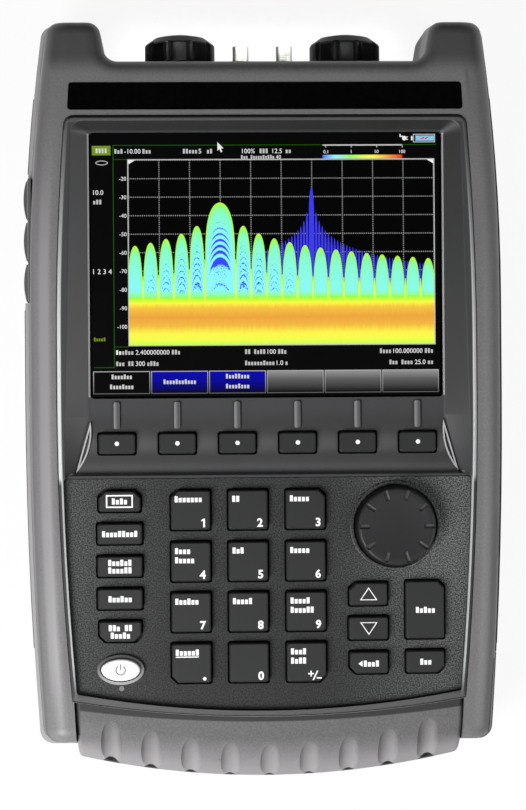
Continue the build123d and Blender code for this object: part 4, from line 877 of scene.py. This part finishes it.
def draw_marks(canvas):
    """Scale, readings and signs round the trace, and the colour scale."""
    z = canvas.layer(6)
    left, top, right, foot = PLOT
    white, pale, green, sky, red, lime = range(6)
    bm = bmesh.new()

    def lines(material, *areas):
        for area in areas:
            plate(bm, *canvas.area(*area), z, material)

    def shape(material, step, *spots):
        polygon(bm, [canvas.at(*spot) for spot in spots], z + LAYER * step, material)

    def number(figures, u, v, anchor="LEFT", height=TEXT):
        return digits(bm, figures, height, canvas.at(u, v), z, anchor, material=white)

    def words(letters, u, v, anchor="LEFT", height=TEXT, material=pale):
        return word_mark(bm, canvas.at(u, v), letters, height, z, anchor, material, TEXT_GAP)

    # Frame and scale of the plot.
    thin = 0.36
    outline(bm, *canvas.area(left - thin, top - thin, right + thin, foot + thin), z, thin, pale)
    for side, edge in ((1, left), (-1, right)):
        shape(white, 1, (edge, top), (edge + side * 2.6, top), (edge, top + 1.6))
    for i in range(1, GRID):
        v = top + (foot - top) * i / GRID
        number(str(-10 * (i + 1)), left - 0.8, v + 0.75, "RIGHT", 1.5)
    lines(green, (8.2, 4.6, 88.2, 4.85), (118.6, 4.6, 132.0, 4.85), (8.2, 4.85, 8.5, 89.6),
          (8.5, 10.0, left - thin, 10.25), (8.5, foot + 0.5, left - thin, foot + 0.75),
          (0.6, 89.3, 8.2, 89.6))

    # Column at the left.
    lines(lime, (0.3, 4.9, 7.4, 8.5))
    words("tttt", 3.85, 7.65, "CENTER", material=white)
    turns = [i * math.pi / 12 for i in range(24)]
    hollow(bm, [canvas.at(4.0 + 2.4 * math.cos(a), 11.4 - 0.9 * math.sin(a)) for a in turns],
           0.28, z, pale)
    number("10.0", 0.7, 23.6, height=1.8)
    words("xtt", 0.7, 27.2)
    number("1 2 3 4", 0.5, 53.8, height=1.9)
    words("txxxt", 0.6, 79.4, height=1.4, material=lime)

    # Line over the plot.
    v = 7.9
    reach = words("txt", 8.9, v)
    number("-10.00", 9.6 + reach, v)
    words("txx", 19.6, v)
    reach = words("ttxxx", 35.0, v)
    number("5", 35.6 + reach, v)
    words("xt", 44.2, v)
    number("100%", 57.6, v)
    words("ttt", 64.3, v)
    number("12.5", 69.2, v)
    words("xx", 74.3, v)
    reach = words("txx txxxxtxttx", 57.2, 10.0, height=1.4)
    number("40", 57.9 + reach, 10.0, height=1.4)

    # Ruler over the colour scale.
    start, _, end, _ = COLOUR_SCALE
    lines(pale, (start, 4.6, end, 5.1))
    for share, figures in zip((0.04, 0.36, 0.68, 1.0), ("0.1", "1", "10", "100")):
        u = start + (end - start) * share
        lines(pale, (u - 0.15, 5.1, u + 0.15, 5.8))
        number(figures, u, 8.0, "CENTER", 1.25)

    # Battery, mains plug and pointer.
    outline(bm, *canvas.area(123.2, 0.7, 131.6, 3.9), z, 0.3, pale)
    lines(white, (122.4, 1.5, 123.0, 3.1))
    lines(sky, (124.1, 1.3, 131.2, 3.3))
    shape(red, 1, (125.3, 2.9), (127.5, 1.6), (127.4, 2.3), (129.8, 1.5), (127.8, 2.9),
          (127.8, 2.3))
    disc(bm, canvas.at(119.8, 2.3), 0.85, z, white)
    lines(white, (118.2, 1.4, 119.4, 1.8), (118.0, 0.7, 118.4, 1.8),
          (120.4, 1.7, 121.2, 2.0), (120.4, 2.6, 121.2, 2.9))
    shape(white, 2, (48.2, 3.6), (48.2, 6.9), (48.95, 6.25), (49.5, 7.5), (50.05, 7.25),
          (49.5, 6.05), (50.5, 6.0))

    # Two lines under the plot.
    gap = 0.9
    for u, v, before, figures, after in (
            (9.0, 84.6, "txxtxx", "2.400000000", "ttx"), (58.2, 84.6, "tt txtt", "100", "ttx"),
            (9.0, 88.9, "txx tt", "300", "xttx"), (58.2, 88.9, "txxxxxtxxx", "1.0", "x")):
        u += words(before, u, v) + gap
        u += number(figures, u, v) + gap
        words(after, u, v)
    for v, before, figures, after in ((84.6, "txxx", "100.000000", "ttx"),
                                      (88.9, "txx txxx", "25.0", "xx")):
        u = 130.2 - words(after, 130.2, v, "RIGHT") - gap
        u -= number(figures, u, v, "RIGHT") + gap
        words(before, u, v, "RIGHT")
    show(bm, "display_marks", glow("mark_white", grey(244)), glow("mark_grey", grey(196)),
         glow("mark_green", tone(32, 92, 8)), glow("mark_sky", tone(132, 206, 240)),
         glow("mark_red", tone(224, 34, 24)), glow("mark_lime", tone(120, 150, 32)))

    bm = bmesh.new()
    plate(bm, *canvas.area(*COLOUR_SCALE), canvas.layer(5))
    scale = glow("colour_scale")
    x, _, _ = scale.axes()
    share = (x - canvas.at(start, 0)[0]) / (end - start)
    scale.set(emission_color=scale.ramp(
        share, (0.0, tone(64, 96, 246)), (0.15, tone(150, 240, 255)),
        (0.35, tone(150, 250, 100)), (0.62, tone(255, 250, 70)), (0.84, tone(240, 150, 50)),
        (1.0, tone(224, 40, 24))))
    show(bm, "display_colour_scale", scale)


class ANALYZER_OT_display_marks(Operator):
    """Draw the scale, the readings, the colour bar and the small signs round the trace"""
    bl_idname = "analyzer.display_marks"
    bl_label = "Display marks"

    def execute(self, context):
        draw_marks(Canvas(context.scene.analyzer_display))
        return {"FINISHED"}


def draw_labels(canvas):
    """One framed field for each softkey, words on the first three."""
    z = canvas.layer(5)
    rim, dark, blue, shaded, lettering = range(5)
    pitch = canvas.width / len(SOFTKEYS)
    one_row, upper_row, lower_row = 95.9, 93.9, 97.7
    labels = ((dark, ("txxxtxx", upper_row), ("txxxtxxx", lower_row)),
              (blue, ("txxxtxxtxxx", one_row)),
              (blue, ("txxttxxx", upper_row), ("txxxtxxx", lower_row)),
              (shaded,), (shaded,), (shaded,))
    bm = bmesh.new()
    for i, (ground, *rows) in enumerate(labels):
        for inset, step, material in ((0.0, 0, rim), (0.3, 1, ground)):
            side = 0.2 + inset
            plate(bm, *canvas.area(i * pitch + side, LABELS_TOP + inset,
                                   (i + 1) * pitch - side, LABELS_FOOT - inset),
                  z + LAYER * step, material)
        for letters, v in rows:
            word_mark(bm, canvas.at((i + 0.5) * pitch, v), letters, TEXT, z + LAYER * 2,
                      "CENTER", lettering, TEXT_GAP)

    def field(name, *stops):
        finish = glow(name)
        _, y, _ = finish.axes()
        share = (canvas.at(0, LABELS_TOP)[1] - y) / (LABELS_FOOT - LABELS_TOP)
        return finish.set(emission_color=finish.ramp(share, *stops))

    show(bm, "display_softkey_labels",
         field("label_frame", (0.0, grey(176)), (0.5, grey(150)), (1.0, grey(96))),
         glow("label_dark", grey(3)),
         field("label_blue", (0.0, tone(4, 4, 176)), (0.45, tone(4, 4, 150)),
               (0.95, tone(2, 2, 30))),
         field("label_shaded", (0.0, grey(150)), (0.4, grey(92)), (0.95, grey(6))),
         glow("label_words", grey(214)))


class ANALYZER_OT_softkey_labels(Operator):
    """Draw the row of label fields over the softkeys"""
    bl_idname = "analyzer.softkey_labels"
    bl_label = "Softkey labels"

    def execute(self, context):
        draw_labels(Canvas(context.scene.analyzer_display))
        return {"FINISHED"}


def print_legends(sizes, ink):
    """One printed piece for each key, riding on it."""
    depth, digit, word = sizes.print_depth / MM, sizes.digit / MM, sizes.word / MM

    def start(node):
        return bmesh.new(), *middle_and_top(node)

    def finish(bm, node):
        raise_print(bm, depth)
        publish(bm, f"legend_{node}", node, "key_rubber", ink)

    def word_key(node, *rows):
        bm, middle, top = start(node)
        half_row = 1.42
        for i, letters in enumerate(rows):
            foot = middle.y - word / 2 + (len(rows) - 1 - 2 * i) * half_row
            word_mark(bm, (middle.x, foot), letters, word, top, "CENTER")
        if node == "key_mode":
            corner = Vector((5.1, 2.45))
            outline(bm, middle.xy - corner, middle.xy + corner, top, 0.55)
        finish(bm, node)

    def number_key(node, *rows):
        bm, middle, top = start(node)
        left, right = middle.x - 6.0, middle.x + 5.6
        foot, head = middle.y - 6.55, middle.y + 5.3
        row_pitch = 3.5

        def block(x0, y0, x1, y1):
            plate(bm, (right + x0, foot + y0), (right + x1, foot + y1), top)

        def shape(*spots):
            polygon(bm, [(right + x, foot + y) for x, y in spots], top)

        for i, letters in enumerate(rows):
            base = head - word - i * row_pitch
            width = word_mark(bm, (left, base), letters, word, top)
            if node == "key_point":
                plate(bm, (left, base - 0.75), (left + width, base - 0.35), top)
        sign = node.split("_")[1]
        if sign == "point":
            disc(bm, (right - 0.7, foot + 0.7), 0.68, top)
        elif sign == "sign":
            block(-5.1, 1.95, -2.9, 2.45)
            block(-4.25, 2.45, -3.75, 3.3)
            block(-4.25, 1.1, -3.75, 1.95)
            shape((-3.5, -0.2), (-2.95, -0.2), (-1.2, 3.3), (-1.75, 3.3))
            block(-1.9, 0.3, 0, 0.8)
        elif sign == "1":
            block(-0.85, 0, -0.15, digit)
            shape((-0.85, digit), (-1.55, digit - 0.55), (-1.55, digit - 1.1),
                  (-0.85, digit - 0.75))
        else:
            digits(bm, sign, digit, (right, foot), top, "RIGHT", weight=0.035)
        finish(bm, node)

    function_words = (("txtx",), ("txxxttxxt",), ("txxtxt", "txxxtt"), ("txxtxx",),
                      ("ttx tt", "txxtx"))
    number_words = (("txxxxxx",), ("tt",), ("txxxx",), ("txxx", "txxxx"), ("txt",), ("txxxx",),
                    ("txxtxx",), ("txxxt",), ("txxxt", "txxxtt"), ("txxxxt",), (),
                    ("txxt", "txtt"))
    for node, rows in zip(FUNCTION_KEYS, function_words):
        word_key(node, *rows)
    for node, rows in zip(NUMBER_KEYS, number_words):
        number_key(node, *rows)
    for node, way in (("arrow_up", 1), ("arrow_down", -1)):
        bm, middle, top = start(node)
        spots = [(middle.x + x, middle.y + way * y)
                 for x, y in ((-3.3, -2.3), (3.3, -2.3), (0, 2.6))]
        hollow(bm, spots[::way], 0.62, top)
        finish(bm, node)
    bm, middle, top = start("key_back")
    foot = middle.y - word / 2 - 0.3
    polygon(bm, [(middle.x - 4.2, foot + word / 2), (middle.x - 2.6, foot),
                 (middle.x - 2.6, foot + word)], top)
    word_mark(bm, (middle.x - 2.1, foot), "txxt", word, top)
    finish(bm, "key_back")
    word_key("key_enter", "txtxx")
    word_key("key_escape", "txx")
    for node in SOFTKEYS:
        bm, middle, top = start(node)
        disc(bm, middle, 0.85, top)
        finish(bm, node)


class ANALYZER_OT_key_legends(Operator):
    """Print the digits, word marks, arrows and dots on the keys"""
    bl_idname = "analyzer.key_legends"
    bl_label = "Key legends"

    def execute(self, context):
        ink = moulded("legend_ink", tuple(context.scene.analyzer_colours.legends), rough=0.5,
                      grain=0.3, depth=0.004, spread=0.05, gloss=0.4)
        print_legends(context.scene.analyzer_legends, ink)
        return {"FINISHED"}


class ANALYZER_OT_power_sign(Operator):
    """Print the power sign on its white button"""
    bl_idname = "analyzer.power_sign"
    bl_label = "Power sign"

    def execute(self, context):
        middle, top = middle_and_top("power_key")
        radius, line, gap = 1.75, 0.42, math.radians(34)
        bm = bmesh.new()
        across, along = math.sin(gap), math.cos(gap)
        ends = [bm.verts.new((middle.x + reach * across, middle.y + reach * along, top))
                for reach in (radius - line / 2, radius + line / 2)]
        bmesh.ops.spin(bm, geom=[*ends, bm.edges.new(ends)], cent=(middle.x, middle.y, top),
                       axis=(0, 0, -1), angle=2 * math.pi - 2 * gap, steps=28)
        bmesh.ops.recalc_face_normals(bm, faces=bm.faces)
        plate(bm, (middle.x - line / 2, middle.y + 0.1),
              (middle.x + line / 2, middle.y + radius + 0.5), top)
        raise_print(bm, context.scene.analyzer_legends.print_depth / MM)
        publish(bm, "power_sign", "power_key", "power_white",
                moulded("sign_ink", tone(112, 106, 92), rough=0.5, grain=0.3, depth=0.004,
                        spread=0.08))
        return {"FINISHED"}


def floor_finish():
    """Pale floor that looks nearly white to the camera and in gloss, and keeps the shadow."""
    finish = Finish("studio_floor", roughness=0.9, specular_ior_level=0.1)
    finish.set(base_color=finish.blend(finish.grain(60.0), grey(234), grey(240)))
    rays = finish.node("ShaderNodeLightPath").socket.node.outputs
    camera, glossy, through = (Field(finish, rays[f"Is {kind} Ray"])
                               for kind in ("Camera", "Glossy", "Transmission"))
    seen = (camera + glossy + through).least(1.0)
    whiteness = 0.92
    light = finish.node("ShaderNodeEmission", sockets={"Color": WHITE, "Strength": 1.0})
    mixed = finish.node("ShaderNodeMixShader", sockets={
        0: seen * whiteness, 1: Field(finish, finish.shader.outputs[0]), 2: light})
    finish.feed(finish.tree.nodes["Material Output"].inputs[0], mixed)
    return finish


def hang_lamp(name, place, aim, size, power, spread=math.pi):
    """Rectangular lamp at a place in metres, turned to its aim."""
    data = bpy.data.lights.new(name, "AREA")
    data.shape = "RECTANGLE"
    data.spread = spread
    data.size, data.size_y = size
    data.energy = power
    lamp = bpy.data.objects.new(name, data)
    turn = (Vector(aim) - Vector(place)).to_track_quat("-Z", "Y").to_matrix().to_4x4()
    lamp.matrix_world = Matrix.Translation(place) @ turn
    bpy.context.scene.collection.objects.link(lamp)


def set_camera(scene, settings):
    """Camera over the case at the photograph's viewing angle."""
    sensor = 36.0
    view_height = 318.7 * MM
    middle = Vector((-0.66, -2.94, 35.0)) * MM
    eye = middle + settings.distance * Vector((settings.lean, 0, 1))
    back = (eye - middle).normalized()
    across = Vector((0, 1, 0)).cross(back).normalized()
    turn = Matrix((across, back.cross(across), back)).transposed().to_4x4()
    data = bpy.data.cameras.new("photo_camera")
    data.sensor_width = sensor
    data.lens = sensor * (eye - middle).length / view_height
    camera = bpy.data.objects.new("photo_camera", data)
    camera.matrix_world = Matrix.Translation(eye) @ turn @ Matrix.Rotation(settings.roll, 4, "Z")
    scene.collection.objects.link(camera)
    scene.camera = camera


class ANALYZER_OT_stage(Operator):
    """Set the floor, the lamps and the camera"""
    bl_idname = "analyzer.stage"
    bl_label = "Stage"

    def execute(self, context):
        scene = context.scene
        settings = scene.analyzer_stage
        half, below = 3000, -0.05
        bm = bmesh.new()
        plate(bm, (-half, -half), (half, half), below)
        build(bm, "studio_floor", floor_finish())

        hang_lamp("key_lamp", (-0.44, -0.44, 0.58), (0, -0.02, 0.03), (0.35, 0.5),
                  settings.key_power)
        hang_lamp("fill_lamp", (0.80, -0.25, 0.66), (0, 0, 0.03), (0.5, 0.9), settings.fill_power)
        hang_lamp("bay_lamp", (0, 0.142, 0.7), (0, 0.142, 0.03), (0.11, 0.012),
                  settings.bay_power, math.radians(2))

        scene.world = bpy.data.worlds.new("studio_sky")
        scene.world.use_nodes = True
        sky = scene.world.node_tree.nodes["Background"].inputs
        sky["Color"].default_value = WHITE
        sky["Strength"].default_value = settings.sky

        set_camera(scene, settings)
        scene.view_settings.view_transform = "Standard"
        return {"FINISHED"}


class ANALYZER_PT_sidebar(Panel):
    """Sizes, colours and steps of the analyzer"""
    bl_idname = "ANALYZER_PT_sidebar"
    bl_label = "Microwave Analyzer"
    bl_space_type = "VIEW_3D"
    bl_region_type = "UI"
    bl_category = "Analyzer"

    def draw(self, context):
        scene = context.scene
        for owner, group in GROUPS.items():
            box = self.layout.box()
            box.label(text=owner.split("_")[1].title())
            for name in group.__annotations__:
                box.prop(getattr(scene, owner), name)
        for operator in OPERATORS:
            self.layout.operator(operator.bl_idname)


GROUPS = {"analyzer_colours": CaseColours, "analyzer_display": DisplaySizes,
          "analyzer_legends": LegendSizes, "analyzer_stage": StageSettings}
OPERATORS = (ANALYZER_OT_case_finishes, ANALYZER_OT_display_trace, ANALYZER_OT_display_marks,
             ANALYZER_OT_softkey_labels, ANALYZER_OT_key_legends, ANALYZER_OT_power_sign,
             ANALYZER_OT_stage)
CLASSES = (*GROUPS.values(), *OPERATORS, ANALYZER_PT_sidebar)


def register():
    for piece in CLASSES:
        bpy.utils.register_class(piece)
    for name, group in GROUPS.items():
        setattr(bpy.types.Scene, name, PointerProperty(type=group))


def unregister():
    for name in GROUPS:
        delattr(bpy.types.Scene, name)
    for piece in reversed(CLASSES):
        bpy.utils.unregister_class(piece)


def main():
    register()
    for operator in OPERATORS:
        family, name = operator.bl_idname.split(".")
        getattr(getattr(bpy.ops, family), name)()


if __name__ == "__main__":
    main()
